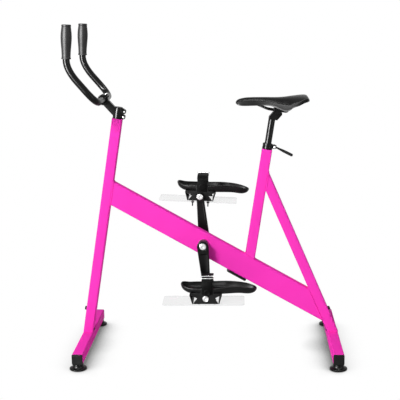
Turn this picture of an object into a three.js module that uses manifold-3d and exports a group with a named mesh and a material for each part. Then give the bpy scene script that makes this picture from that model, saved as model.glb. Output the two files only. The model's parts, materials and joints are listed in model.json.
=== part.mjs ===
// An exercise bike that stands on the floor of a pool, for pedalling under water.
// A welded frame of oblong tubes stands on two base bars with rubber feet. It carries cranks
// with foot cradles and clear water paddles, a saddle on a sliding post and a U-shaped handlebar.
// Millimetres. X runs from the handlebar (negative) to the back, Y from the rider's left
// (negative) to the right, and Z up. The origin is on the floor, halfway between the base bars.
import * as THREE from 'three';
import { mergeVertices } from 'three/addons/utils/BufferGeometryUtils.js';
import Module from 'manifold-3d';

const wasm = await Module();
wasm.setup();

// Clearances and the overrun of cuts
const seatGap = 0.3;
const runningGap = 0.45;
const cutOver = 3;

// Base bars, their spigots, end caps and feet
const barSpacing = 948;
const barLength = 533;
const barSize = 40;
const barWall = 3;
const barCorner = 4;
const footHeight = 21;
const spigotWall = 3;
const spigotLength = 118;
const capThickness = 3.2;
const capPlugDepth = 24;
const footRadius = 32;
const footNeckRadius = 19;
const footRimHeight = 7;
const footStudRadius = 5;
const footStudLength = 13;
const footInset = 17;

// Frame tubes
const uprightSize = 38;
const uprightWall = 3;
const uprightCorner = 4;
const frontPostLength = 842;
const frontPostLean = 9.6;
const seatTubeLength = 461;
const seatTubeLean = 9.2;
const seatTubeFoot = 150.8;
const rearLegDrop = 89.1;
const beamDepth = 84;
const beamWidth = 38;
const beamWall = 3;
const beamCorner = 5;
const beamSlope = 29.8;
const beamMidHeight = 401.6;

// Bolts that hold the legs on their spigots
const legBoltHeight = 90;
const legBoltRadius = 4;
const legBoltLength = 17;
const legBoltHeadRadius = 7;
const legBoltHeadHeight = 7;

// Cover plate under the beam
const coverPlace = 149;
const coverLength = 82;
const coverWidth = 33;
const coverThickness = 10;
const coverCorner = 6;

// Crank shell, bearings and axle
const crankPlace = -19;
const shellRadius = 20;
const shellWall = 3;
const shellLength = 62;
const bearingFlange = 4;
const bearingDepth = 13;
const axleRadius = 8.5;
const axleRoundLength = 80;
const axleSquareSize = 13;
const axleSquareEnd = 63;

// Crank arms and their bolts
const crankLength = 167.5;
const crankTilt = 4.6;
const crankThickness = 18;
const crankHubRadius = 22;
const crankTipRadius = 13.5;
const crankOuterFace = 72;
const crankBevel = 2;
const crankPanelInset = 5;
const crankPanelDepth = 1.2;
const crankRecessRadius = 14;
const crankRecessDepth = 6;
const crankBoltHeadRadius = 12.8;
const crankBoltHeadHeight = 4.5;
const crankBoltRadius = 4;
const crankBoltLength = 24;

// Pedal axle and pedal body
const pedalHeadRadius = 11.5;
const pedalHeadThickness = 4;
const pedalThreadRadius = 7;
const pedalFlangeRadius = 10;
const pedalFlangeThickness = 3.5;
const pedalSpindleRadius = 6;
const pedalSpindleLength = 104;
const pedalBodyStart = 78;
const pedalBodyLength = 108;
const pedalTop = 13.5;
const pedalBottom = 20;
const pedalTopLength = 120;
const pedalBottomLength = 100;
const pedalPlateThickness = 5;
const pedalEndThickness = 4;
const pedalRibThickness = 5;
const pedalBarrelRadius = 14;
const pedalCapRadius = 11;
const pedalCapThickness = 3.5;
const pedalCapPlugRadius = 9.5;
const pedalCapPlugDepth = 8;
// Tilt of each pedal as it rests, heel down
const leftPedalTilt = 0;
const rightPedalTilt = 3;

// Foot cradle: a boat-shaped tray, longer behind the pedal axle than in front of it
const cradleFront = 93;
const cradleBack = 187;
const cradleWidth = 106;
const cradleWall = 3.6;
const cradleToeRise = 31;
const cradleWaistRise = 25;
const cradleHeelRise = 23.5;
const cradleHeelDrop = 8;
const cradleAngleSteps = 32;
const cradleSquareness = 3.4;
const cradleWallCurve = 2.2;
const cradleFlatShare = 0.76;
const cradleHeelStartShare = 0.35;
const cradleRingShares = [0.45, 0.7, 0.78, 0.85, 0.92, 0.97, 1];

// Foot strap
const strapWidth = 44;
const strapThickness = 2.4;
const strapPlace = 6;
const strapHeight = 61;
const strapStartHeight = 5;
const strapStraightRise = 0.5;
const strapArcSteps = 10;

// Clear paddle under the pedal, and its screws
const paddleFront = 161;
const paddleBack = 142;
const paddleWidth = 109;
const paddleThickness = 6;
const paddleCorner = 12;
const paddleScrewPlace = 30;
const paddleScrewInset = 25;
const paddleScrewRadius = 2.5;
const paddleScrewDepth = 4;
const paddleScrewTip = 20;
const paddleNutRadius = 5.5;
const paddleNutHeight = 6;

// Seat sleeve, collar and its quick-release lever
const seatPostRadius = 12.7;
const sleeveDepth = 70;
const sleeveRise = 22.5;
const sleeveSlot = 2.6;
const sleeveSlotDepth = 21;
const collarHeight = 19;
const collarDrop = 1.5;
const collarWall = 3.3;
const collarEarReach = 13;
const collarEarThickness = 5.5;
const collarEarHeight = 13;
const collarBoltRadius = 2.5;
const collarNutRadius = 5;
const collarNutHeight = 6;
const leverHubRadius = 6.5;
const leverHubWidth = 14;
const leverCoreRadius = 3;
const leverGroove = 6;
const leverLength = 77;
const leverWidth = 11;
const leverThickness = 4.5;
const leverDrop = 27;

// Seat post with its head, and the rail clamp, whose rails lie above the seat tube's end
const seatPostLength = 300;
const railRise = 149;
const railSetback = 15.2;
const clampRadius = 14;
const clampWidth = 54;
const clampUpperHeight = 9;
const clampUpperLength = 30;
const headWidth = 30;
const headFront = 15;
const headRear = 19;
const headDepth = 22;
const headWall = 7;
const clampBoltRadius = 4;
const clampBoltHeadRadius = 6.5;
const clampBoltHeadHeight = 5;
const clampBoltTail = 16;
const clampNutRadius = 5.5;
const clampNutTop = 23.5;
const clampNutHeight = 5;
const clampSlotLength = 19;
const clampPocketLength = 25;

// Saddle rails
const railRadius = 3.5;
const railSpread = 21;
const railNoseSpread = 7.5;
const railRearSpread = 32;
const railStraightFront = 36;
const railStraightBack = 36;
const railBend = 9;
// Places along the saddle, from its nose, where the rails touch the shell
const railNoseEnd = 42;
const railNoseStart = 78;
const railRearStart = 198;
const railRearEnd = 221;
const railGap = 0.7;
const railSteps = 42;

// Saddle: its length, its height above the rails, and the line of its top and lower edge
const saddleLength = 270;
const saddleWidth = 156;
const saddleNoseReach = 154;
const saddleRise = 50;
const saddleDepth = 32;
const saddlePanThickness = 4.5;
const saddlePanRise = 8;
const saddlePanInset = 3;
const cushionGap = 0.9;
const saddleStations = 32;
const saddleTopSteps = 14;
// Along the saddle, from nose to tail: place, half width, drop of the top and lift of the lower edge.
const saddleWidthShares = [
  [0, 0.1], [0.012, 0.17], [0.05, 0.235], [0.15, 0.275], [0.35, 0.33],
  [0.52, 0.5], [0.68, 0.79], [0.82, 0.985], [0.9, 1], [0.96, 0.9], [0.99, 0.68], [1, 0.5],
];
const saddleTopShares = [
  [0, 0.5], [0.012, 0.36], [0.05, 0.17], [0.15, 0.02], [0.35, 0], [0.6, 0.02],
  [0.8, -0.12], [0.9, -0.14], [0.97, 0.02], [1, 0.25],
];
const saddleEdgeShares = [
  [0, 0.3], [0.03, 0.12], [0.1, 0.03], [0.35, 0.06], [0.45, 0.04], [0.52, -0.1], [0.58, -0.28],
  [0.64, -0.48], [0.69, -0.57], [0.735, -0.42], [0.775, -0.14], [0.86, 0.14], [0.93, 0.42], [1, 0.54],
];
// The same for the pan's flat middle, which runs level where the sides reach down past the rails
const saddlePanShares = [
  [0, 0.3], [0.03, 0.12], [0.1, 0.03], [0.35, 0.02], [0.55, -0.06], [0.72, -0.16],
  [0.81, -0.12], [0.88, 0.08], [0.94, 0.36], [1, 0.54],
];
const saddlePlacesShare = 0.72;
// Across the saddle, from its middle line to its side: where the pan's flat middle ends and its side begins
const saddlePanFlatShare = 0.55;
const saddlePanSideShare = 0.95;
const saddleAcrossShares = [-1, -0.9, -0.8, -0.68, -0.55, 0, 0.55, 0.68, 0.8, 0.9, 1];
// Powers that square off the crown's section across, and its height
const saddleSideCurve = 0.8;
const saddleCrownCurve = 0.55;

// Steerer, stem and faceplate
const steererRadius = 14.3;
const steererPlugDepth = 60;
const steererRise = 44;
const stemHeight = 41;
const stemWall = 3.7;
const stemEarReach = 14;
const stemEarWidth = 18;
const stemSlot = 2.4;
const stemArmRoot = 13;
const stemArmHeight = 27;
const stemArmWidth = 30;
const stemPanelDepth = 1;
const stemPanelInset = 6;
const pinchBoltLow = 9;
const pinchBoltHigh = 29;
const pinchBoltPlace = 22.5;
const pinchBoltRadius = 2.5;
const pinchBoltHeadRadius = 4.2;
const pinchBoltHeadHeight = 4.5;
const barClampReach = 61;
const barClampRise = 62;
const barClampWall = 7;
const barClampWidth = 42;
const barClampSplit = 2;
const barClampLug = 7;
const barClampLugThickness = 7;

// Handlebar and grips
const handlebarRadius = 12.7;
const handlebarHalfWidth = 170;
const handlebarForward = 103;
const handlebarRise = 122;
const handlebarEndRise = 153;
const handlebarEndBack = 7;
const handlebarBend = 60;
const handlebarUpperBend = 34;
const handlebarSteps = 48;
const gripLength = 120;
const gripEndRadius = 16.5;
const gripBellyRadius = 18;
const gripFlangeRadius = 18.9;
const gripFlangeHeight = 4;
const gripCrown = 3;

// Facets of round pieces, as whole numbers of sides
const fineSides = 20;
const roundSides = 16;
const smallSides = 8;
const cornerSteps = 2;
const crankArcSteps = 6;
const railArcSteps = 4;
const handlebarArcSteps = 6;

// Looks
const look = (color, roughness, metalness) => ({ color, roughness, metalness });
const pinkPaint = look(0xf92fb4, 0.35, 0);
const blackPlastic = look(0x1b1b1d, 0.45, 0);
const blackPaint = look(0x202022, 0.35, 0.3);
const rubber = look(0x1a1a1a, 0.85, 0);
const steel = look(0xc4c6c9, 0.3, 0.9);
const saddleCover = look(0x17171a, 0.6, 0);
const webbing = look(0x242426, 0.9, 0);
const clearPlastic = look(0xdfe7ea, 0.15, 0);
const gripFoam = look(0x1d1d1f, 0.9, 0);

// The corner radius of a faceted hole whose flats clear a round of the given radius.
const around = (radius, sides) => radius / Math.cos(Math.PI / sides);

// Derived places
const radians = THREE.MathUtils.degToRad;
const halfSpacing = barSpacing / 2;
const barTop = footHeight + barSize;
const barMid = footHeight + barSize / 2;
const uprightBore = uprightSize - 2 * uprightWall;
const spigotSize = uprightBore - 2 * seatGap;
const cutReach = barSpacing + frontPostLength;
const slope = radians(beamSlope);
const beamReach = halfSpacing / Math.cos(slope);
const crankHeight = beamMidHeight - crankPlace * Math.tan(slope);
const bearingRadius = shellRadius - shellWall - seatGap;
const footPlace = barLength / 2 + capThickness - footInset;
const railHeight = seatTubeLength + railRise;
const sleeveRadius = uprightBore / 2 - seatGap;
const sleeveBore = around(seatPostRadius + seatGap, fineSides);
const collarBore = sleeveRadius + seatGap;
const collarRadius = collarBore + collarWall;
const pedalMiddle = pedalBodyStart + pedalBodyLength / 2;
const cradleFloor = pedalTop + seatGap;
const paddleTop = -pedalBottom - seatGap;
const seatTubeFootHeight = beamMidHeight - seatTubeFoot * Math.tan(slope);

// Solids: closed geometries that can be joined and cut
function solidOf(geometry) {
  const bare = geometry.clone();
  bare.deleteAttribute('normal');
  bare.deleteAttribute('uv');
  const merged = mergeVertices(bare);
  return new wasm.Manifold(new wasm.Mesh({
    numProp: 3,
    vertProperties: new Float32Array(merged.attributes.position.array),
    triVerts: new Uint32Array(merged.index.array),
  }));
}

function geometryOf(solid) {
  const mesh = solid.getMesh();
  const geometry = new THREE.BufferGeometry();
  geometry.setAttribute('position', new THREE.BufferAttribute(mesh.vertProperties, 3));
  geometry.setIndex(new THREE.BufferAttribute(mesh.triVerts, 1));
  const faceted = geometry.toNonIndexed();
  faceted.computeVertexNormals();
  return faceted;
}

const cut = (body, ...tools) => geometryOf(
  tools.reduce((rest, tool) => rest.subtract(solidOf(tool)), solidOf(body)));
const join = (body, ...others) => geometryOf(
  others.reduce((whole, other) => whole.add(solidOf(other)), solidOf(body)));

function named(name, geometry, { color, roughness, metalness }) {
  const mesh = new THREE.Mesh(geometry, new THREE.MeshStandardMaterial({ color, roughness, metalness }));
  mesh.name = name;
  return mesh;
}

function groupAt(x, y, z, tilt = 0) {
  const group = new THREE.Group();
  group.position.set(x, y, z);
  group.rotation.y = radians(tilt);
  return group;
}

// A frame turned about Y by tilt degrees, so that its own Z leans towards +X.
function frameAt(x, z, tilt) {
  return new THREE.Matrix4().makeTranslation(x, 0, z)
    .multiply(new THREE.Matrix4().makeRotationY(radians(tilt)));
}

// Turns a piece made on the positive side round to the side asked for.
const halfTurn = (side) => (side > 0 ? 0 : Math.PI);

// Outlines
function roundedRectangle(width, height, corner) {
  const x = width / 2;
  const y = height / 2;
  const shape = new THREE.Shape();
  shape.moveTo(-x + corner, -y);
  shape.lineTo(x - corner, -y);
  shape.absarc(x - corner, -y + corner, corner, -Math.PI / 2, 0);
  shape.lineTo(x, y - corner);
  shape.absarc(x - corner, y - corner, corner, 0, Math.PI / 2);
  shape.lineTo(-x + corner, y);
  shape.absarc(-x + corner, y - corner, corner, Math.PI / 2, Math.PI);
  shape.lineTo(-x, -y + corner);
  shape.absarc(-x + corner, -y + corner, corner, Math.PI, Math.PI * 1.5);
  return shape;
}

function polygon(points) {
  return new THREE.Shape(points.map(([x, y]) => new THREE.Vector2(x, y)));
}

function extruded(shape, depth, steps = cornerSteps) {
  return new THREE.ExtrudeGeometry(shape, { depth, bevelEnabled: false, curveSegments: steps });
}

// The outline given as [x, z], drawn out along Y from y0 to y1
function extrudedY(shape, y0, y1, steps = cornerSteps) {
  return extruded(shape, y1 - y0, steps).rotateX(Math.PI / 2).translate(0, y1, 0);
}

// Primitive pieces
function block(x0, x1, y0, y1, z0, z1) {
  return new THREE.BoxGeometry(x1 - x0, y1 - y0, z1 - z0)
    .translate((x0 + x1) / 2, (y0 + y1) / 2, (z0 + z1) / 2);
}

// A plate or bar with rounded corners along Z from z0 to z1.
function roundedBar(width, height, corner, z0, z1) {
  return extruded(roundedRectangle(width, height, corner), z1 - z0).translate(0, 0, z0);
}

function hollowBar(width, height, wall, corner, z0, z1) {
  const shape = roundedRectangle(width, height, corner);
  const inner = Math.max(corner - wall, wall / 3);
  shape.holes.push(roundedRectangle(width - 2 * wall, height - 2 * wall, inner));
  return extruded(shape, z1 - z0).translate(0, 0, z0);
}

function cylinderZ(radius, z0, z1, sides = roundSides) {
  return new THREE.CylinderGeometry(radius, radius, z1 - z0, sides)
    .rotateX(Math.PI / 2).translate(0, 0, (z0 + z1) / 2);
}

function cylinderY(radius, y0, y1, sides = roundSides) {
  return new THREE.CylinderGeometry(radius, radius, y1 - y0, sides).translate(0, (y0 + y1) / 2, 0);
}

function cylinderX(radius, x0, x1, sides = roundSides) {
  return new THREE.CylinderGeometry(radius, radius, x1 - x0, sides)
    .rotateZ(Math.PI / 2).translate((x0 + x1) / 2, 0, 0);
}

// A body of revolution about Y, from a profile of [radius, y] that rises along its outside.
function turnedY(profile, sides = roundSides) {
  return new THREE.LatheGeometry(profile.map(([r, y]) => new THREE.Vector2(r, y)), sides);
}

function turnedZ(profile, sides = roundSides) {
  return turnedY(profile, sides).rotateX(Math.PI / 2);
}

// A round rod through corners, each rounded from its lead before the corner to its tail after it
function bentRod(points, leads, tails, radius, steps, arcSteps) {
  const corners = points.map((p) => new THREE.Vector3(...p));
  const along = (from, to, length) => from.clone().add(to.clone().sub(from).setLength(length));
  const path = new THREE.CurvePath();
  let start = corners[0];
  corners.slice(1, -1).forEach((corner, i) => {
    const before = along(corner, corners[i], leads[i + 1]);
    const after = along(corner, corners[i + 2], tails[i + 1]);
    path.add(new THREE.LineCurve3(start, before));
    path.add(new THREE.QuadraticBezierCurve3(before, corner, after));
    start = after;
  });
  path.add(new THREE.LineCurve3(start, corners.at(-1)));
  const section = new THREE.Shape().absarc(0, 0, radius, 0, 2 * Math.PI);
  return new THREE.ExtrudeGeometry(section, { extrudePath: path, steps, curveSegments: arcSteps });
}

// Closed skins: rows of points that all have the same count, joined by triangles.
class Skin {
  constructor() {
    this.places = [];
  }

  triangle(a, b, c) {
    this.places.push(...a, ...b, ...c);
  }

  quad(a, b, c, d) {
    this.triangle(a, b, c);
    this.triangle(a, c, d);
  }

  band(row, next) {
    row.forEach((a, i) => {
      const j = (i + 1) % row.length;
      this.quad(a, row[j], next[j], next[i]);
    });
  }

  fan(row, middle) {
    row.forEach((a, i) => this.triangle(a, row[(i + 1) % row.length], middle));
  }

  geometry() {
    const geometry = new THREE.BufferGeometry();
    geometry.setAttribute('position', new THREE.Float32BufferAttribute(this.places, 3));
    geometry.computeVertexNormals();
    return geometry;
  }
}

// A value between the entries of a table of [place, value] shares, on a smooth curve.
function shareAt(table, place) {
  const last = table.length - 1;
  const i = Math.max(0, Math.min(last - 1, table.findIndex(([p]) => p > place) - 1));
  const k = place >= table[last][0] ? last - 1 : i;
  const [x0, y0] = table[k];
  const [x1, y1] = table[k + 1];
  const rise = (a, b) => (table[b][1] - table[a][1]) / (table[b][0] - table[a][0]);
  const m0 = rise(Math.max(k - 1, 0), k + 1) * (x1 - x0);
  const m1 = rise(k, Math.min(k + 2, last)) * (x1 - x0);
  const t = THREE.MathUtils.clamp((place - x0) / (x1 - x0), 0, 1);
  return y0 * (2 * t ** 3 - 3 * t ** 2 + 1) + m0 * (t ** 3 - 2 * t ** 2 + t)
    + y1 * (3 * t ** 2 - 2 * t ** 3) + m1 * (t ** 3 - t ** 2);
}

// Frames of the leaning tubes: each one's own Z runs along the tube
const postFrame = frameAt(-halfSpacing, barTop, frontPostLean);
const beamFrame = frameAt(0, beamMidHeight, 90 + beamSlope);
const seatFrame = frameAt(seatTubeFoot, seatTubeFootHeight, seatTubeLean);
const legMeeting = new THREE.Vector3(0, 0, seatTubeLength - rearLegDrop).applyMatrix4(seatFrame);
const rearLegRun = halfSpacing - legMeeting.x;
const rearLegRise = legMeeting.z - barTop;
const rearLegReach = Math.hypot(rearLegRun, rearLegRise);
const rearLegLean = THREE.MathUtils.radToDeg(Math.atan2(rearLegRun, rearLegRise));
const legFrame = frameAt(halfSpacing, barTop, -rearLegLean);
const clampFrame = seatFrame.clone()
  .multiply(new THREE.Matrix4().makeTranslation(railSetback, 0, railHeight));
const clampPoint = new THREE.Vector3().setFromMatrixPosition(clampFrame);
const saddleFrame = new THREE.Matrix4().makeTranslation(clampPoint.x, 0, clampPoint.z + saddleRise);

// Everything on one side of a flat face, as tools that cut each tube to its neighbour
const between = (x0, x1) => block(x0, x1, -cutReach, cutReach, -cutReach, cutReach);
const above = (z) => block(-cutReach, cutReach, -cutReach, cutReach, z, cutReach);
const below = (z) => block(-cutReach, cutReach, -cutReach, cutReach, -cutReach, z);
const belowBars = below(barTop + seatGap);
const behindPostFace = between(-cutReach, uprightSize / 2 + seatGap).applyMatrix4(postFrame);
const aheadOfSeatTubeBack = between(-cutReach, uprightSize / 2 + seatGap).applyMatrix4(seatFrame);
const pastLegFace = between(-uprightSize / 2 - seatGap, cutReach).applyMatrix4(legFrame);
const underBeamTop = between(-beamDepth / 2 - seatGap, cutReach).applyMatrix4(beamFrame);

const upright = (z0, z1) => hollowBar(uprightSize, uprightSize, uprightWall, uprightCorner, z0, z1);
const legBoltHole = (face) => cylinderX(around(legBoltRadius + seatGap, smallSides),
  Math.min(face, 0), Math.max(face, 0), smallSides).translate(0, 0, legBoltHeight);

// Base bar across the floor, with the spigot that its leg slides over
function baseBar(name, side, frame) {
  const bar = hollowBar(barSize, barSize, barWall, barCorner, -barLength / 2, barLength / 2)
    .rotateX(Math.PI / 2).translate(side * halfSpacing, 0, barMid);
  const spigot = cut(
    hollowBar(spigotSize, spigotSize, spigotWall, uprightCorner - uprightWall, -barSize, spigotLength)
      .applyMatrix4(frame),
    below(barTop - barWall / 2),
  );
  const studHole = around(footStudRadius + seatGap, smallSides);
  const studHoles = [-1, 1].map((end) => cylinderZ(
    studHole, footHeight - cutOver, footHeight + barWall + cutOver, smallSides,
  ).translate(side * halfSpacing, end * footPlace, 0));
  return named(name, cut(join(bar, spigot), ...studHoles,
    legBoltHole(side * uprightSize).applyMatrix4(frame)), pinkPaint);
}

// Square plug in the end of a base bar, with a hole that the foot's stud reaches up into
function barCap(name, side, end) {
  const plug = barSize - 2 * barWall - 2 * seatGap;
  const plate = roundedBar(barSize, barSize, barCorner, seatGap, capThickness);
  const body = roundedBar(plug, plug, barWall / 2, -capPlugDepth, seatGap + capThickness / 2);
  const studTop = end * (barSize / 2 - footStudLength);
  const studHole = cylinderY(around(footStudRadius + seatGap, smallSides), Math.min(studTop, end * barSize),
    Math.max(studTop, end * barSize), smallSides).translate(0, 0, footPlace - barLength / 2);
  const mesh = named(name, cut(join(plate, body), studHole), blackPlastic);
  mesh.position.set(side * halfSpacing, end * barLength / 2, barMid);
  mesh.rotation.x = -end * Math.PI / 2;
  return mesh;
}

// Round rubber foot with a stud up through the bar's lower wall
function foot(name, side, end) {
  const top = footHeight - seatGap;
  const mesh = named(name, turnedZ([
    [0, 0], [footRadius - footRimHeight / 3, 0], [footRadius, footRimHeight / 3], [footRadius, footRimHeight],
    [footNeckRadius, top - footRimHeight / 2], [footNeckRadius, top], [footStudRadius, top],
    [footStudRadius, top + footStudLength], [0, top + footStudLength],
  ]), rubber);
  mesh.position.set(side * halfSpacing, end * footPlace, 0);
  return mesh;
}

function legBolt(name, side, frame) {
  const head = uprightSize / 2 + seatGap;
  const shank = cylinderX(legBoltRadius, head - legBoltLength, head + legBoltHeadHeight / 2, smallSides);
  const cap = cylinderX(legBoltHeadRadius, head, head + legBoltHeadHeight, smallSides);
  const bolt = join(shank, cap).rotateZ(halfTurn(side)).translate(0, 0, legBoltHeight);
  const mesh = named(name, bolt, blackPaint);
  mesh.applyMatrix4(frame);
  return mesh;
}

function base() {
  const group = new THREE.Group();
  [['front', -1, postFrame], ['rear', 1, legFrame]].forEach(([place, side, frame]) => {
    group.add(baseBar(place + '_base_bar', side, frame));
    group.add(legBolt(place + '_leg_bolt', side, frame));
    [['left', -1], ['right', 1]].forEach(([hand, end]) => {
      group.add(barCap(place + '_' + hand + '_bar_cap', side, end));
      group.add(foot(place + '_' + hand + '_foot', side, end));
    });
  });
  return group;
}

// Welded frame of four tubes, each cut to meet its neighbour
function frontPost() {
  const tube = upright(-barSize, frontPostLength).applyMatrix4(postFrame);
  return named('front_post', cut(tube, belowBars,
    legBoltHole(-uprightSize).applyMatrix4(postFrame)), pinkPaint);
}

function mainBeam() {
  const tube = hollowBar(beamDepth, beamWidth, beamWall, beamCorner, -beamReach, beamReach)
    .applyMatrix4(beamFrame);
  const shellHole = cylinderY(around(shellRadius + seatGap, roundSides), -beamWidth, beamWidth)
    .translate(crankPlace, 0, crankHeight);
  return named('main_beam', cut(tube, behindPostFace, pastLegFace, shellHole), pinkPaint);
}

function seatTube() {
  const tube = upright(-beamDepth, seatTubeLength).applyMatrix4(seatFrame);
  return named('seat_tube', cut(tube, underBeamTop), pinkPaint);
}

function rearLeg() {
  const tube = upright(-barSize, rearLegReach).applyMatrix4(legFrame);
  return named('rear_leg', cut(tube, belowBars, aheadOfSeatTubeBack,
    legBoltHole(uprightSize).applyMatrix4(legFrame)), pinkPaint);
}

function beamCover() {
  const face = beamDepth / 2 + seatGap;
  const plate = roundedBar(coverLength, coverWidth, coverCorner, face, face + coverThickness);
  const mesh = named('beam_cover', plate.rotateY(Math.PI / 2).translate(0, 0, coverPlace), blackPlastic);
  mesh.applyMatrix4(beamFrame);
  return mesh;
}

function frame() {
  const group = new THREE.Group();
  group.add(frontPost(), mainBeam(), seatTube(), rearLeg(), beamCover());
  return group;
}

// Crank shell through the beam, a flanged bearing in each end, and the axle
function crankShell() {
  const bore = shellRadius - shellWall;
  const half = shellLength / 2;
  return named('crank_shell', turnedY([
    [bore, -half], [shellRadius, -half], [shellRadius, half], [bore, half], [bore, -half],
  ], fineSides), pinkPaint);
}

function crankBearing(name, side) {
  const bore = around(axleRadius + runningGap, fineSides);
  const end = shellLength / 2 + seatGap;
  const mesh = named(name, turnedY([
    [bore, end - bearingDepth], [bearingRadius, end - bearingDepth], [bearingRadius, end], [shellRadius, end],
    [shellRadius, end + bearingFlange], [bore, end + bearingFlange], [bore, end - bearingDepth],
  ], fineSides), steel);
  mesh.scale.y = side;
  return mesh;
}

function crankAxle() {
  const side = axleSquareSize / 2;
  const boltHole = around(crankBoltRadius + seatGap, smallSides);
  const round = axleRoundLength / 2;
  const squares = [-1, 1].map((end) => block(-side, side, round - cutOver, axleSquareEnd, -side, side)
    .rotateZ(halfTurn(end)));
  const core = join(cylinderY(axleRadius, -round, round), ...squares);
  const ends = [-1, 1].map((end) => cylinderY(
    boltHole, axleSquareEnd - crankBoltLength, axleSquareEnd + cutOver, smallSides,
  ).rotateZ(halfTurn(end)));
  return named('crank_axle', cut(core, ...ends), steel);
}

// Crank arm: hub at the origin, tip up along Z, outer face towards +Y
function crankOutline(inset) {
  const hub = crankHubRadius - inset;
  const tip = crankTipRadius - inset;
  const lean = Math.asin((hub - tip) / crankLength);
  const shape = new THREE.Shape();
  shape.absarc(0, 0, hub, Math.PI - lean, 2 * Math.PI + lean);
  shape.absarc(0, crankLength, tip, lean, Math.PI - lean);
  return shape;
}

function crankArm(name) {
  const inner = crankOuterFace - crankThickness;
  const arm = new THREE.ExtrudeGeometry(crankOutline(crankBevel), {
    depth: crankThickness - 2 * crankBevel,
    bevelThickness: crankBevel,
    bevelSize: crankBevel,
    bevelSegments: 1,
    curveSegments: crankArcSteps,
  }).rotateX(Math.PI / 2).translate(0, crankOuterFace - crankBevel, 0);
  const socket = axleSquareSize / 2 + seatGap;
  const panelStart = crankHubRadius + crankPanelInset;
  const panelEnd = crankLength - crankTipRadius - crankPanelInset;
  const panel = block(-crankHubRadius, crankHubRadius, crankOuterFace - crankPanelDepth,
    crankOuterFace + cutOver, panelStart, panelEnd);
  const panelShape = extrudedY(crankOutline(crankPanelInset), crankOuterFace - crankThickness / 2,
    crankOuterFace + crankThickness / 2, crankArcSteps);
  return named(name, cut(
    arm,
    block(-socket, socket, inner - cutOver, crankOuterFace, -socket, socket),
    cylinderY(crankRecessRadius, crankOuterFace - crankRecessDepth, crankOuterFace + cutOver),
    cylinderY(around(pedalThreadRadius + seatGap, roundSides), inner - cutOver, crankOuterFace + cutOver)
      .translate(0, 0, crankLength),
    geometryOf(solidOf(panel).intersect(solidOf(panelShape))),
  ), blackPlastic);
}

function crankBolt(name) {
  const seat = crankOuterFace - crankRecessDepth + seatGap;
  const tail = axleSquareEnd - crankBoltLength + seatGap;
  return named(name, turnedY([
    [0, tail], [crankBoltRadius, tail], [crankBoltRadius, seat], [crankBoltHeadRadius, seat],
    [crankBoltHeadRadius, seat + crankBoltHeadHeight / 2],
    [crankBoltHeadRadius / 2, seat + crankBoltHeadHeight], [0, seat + crankBoltHeadHeight],
  ]), steel);
}

// Pedal axle: head inside the crank tip, thread through it, flange, then the spindle that the pedal turns on
function pedalAxle(name) {
  const head = crankOuterFace - crankThickness - seatGap;
  const flange = crankOuterFace + seatGap;
  const end = pedalBodyStart + pedalSpindleLength - pedalCapPlugDepth;
  return named(name, turnedY([
    [0, head - pedalHeadThickness], [pedalHeadRadius - pedalHeadThickness / 2, head - pedalHeadThickness],
    [pedalHeadRadius, head - pedalHeadThickness / 2], [pedalHeadRadius, head],
    [pedalThreadRadius, head], [pedalThreadRadius, flange], [pedalFlangeRadius, flange],
    [pedalFlangeRadius, flange + pedalFlangeThickness], [pedalSpindleRadius, flange + pedalFlangeThickness],
    [pedalSpindleRadius, end], [0, end],
  ]), steel);
}

function cranks() {
  const group = groupAt(crankPlace, 0, crankHeight);
  group.add(crankShell(), crankBearing('left_crank_bearing', -1), crankBearing('right_crank_bearing', 1));
  const turning = groupAt(0, 0, 0, -crankTilt);
  turning.add(crankAxle());
  [['left', -1], ['right', 1]].forEach(([hand, side]) => {
    const arm = new THREE.Group();
    arm.scale.set(side, side, side);
    arm.add(crankArm(hand + '_crank'), crankBolt(hand + '_crank_bolt'));
    const axle = pedalAxle(hand + '_pedal_axle');
    axle.position.z = crankLength;
    arm.add(axle);
    turning.add(arm);
  });
  group.add(turning);
  return group;
}

// Pedal body: a trussed block with a barrel for the axle. X runs along the foot, Y outwards
function pedalWindow(side) {
  const top = pedalTop - pedalPlateThickness;
  const bottom = -pedalBottom + pedalPlateThickness;
  const outerTop = pedalTopLength / 2 - pedalEndThickness - pedalPlateThickness / 2;
  const outerBottom = pedalBottomLength / 2 - pedalEndThickness;
  const outerMiddle = (outerTop + outerBottom) / 2;
  const rib = pedalRibThickness;
  return [
    [[outerTop, top], [pedalBarrelRadius + 4 * rib, top], [outerMiddle, 0]],
    [[outerMiddle - rib / 2, -rib], [outerBottom - rib / 2, bottom], [pedalBarrelRadius + 2 * rib, -rib]],
  ].map((corners) => polygon(corners.map(([x, z]) => [side * x, z])));
}

// Openings in the pedal's floor, under its windows and clear of the paddle's screws
const pedalFloorHoles = () => [-1, 1].map((side) => {
  const inner = side * (pedalBarrelRadius + 2 * pedalRibThickness);
  const outer = side * (pedalBottomLength / 2 - pedalEndThickness - pedalRibThickness);
  return block(
    Math.min(inner, outer), Math.max(inner, outer),
    paddleScrewInset + pedalBarrelRadius + pedalRibThickness - pedalBodyLength / 2,
    pedalBodyLength / 2 - 2 * pedalEndThickness, -pedalBottom - cutOver, -pedalBottom / 2,
  );
});

const paddleScrewHoles = (z0, z1) => [-1, 1].map((end) => cylinderZ(
  around(paddleScrewRadius + seatGap, smallSides), z0, z1, smallSides,
).translate(end * paddleScrewPlace, paddleScrewInset - pedalBodyLength / 2, 0));

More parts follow.
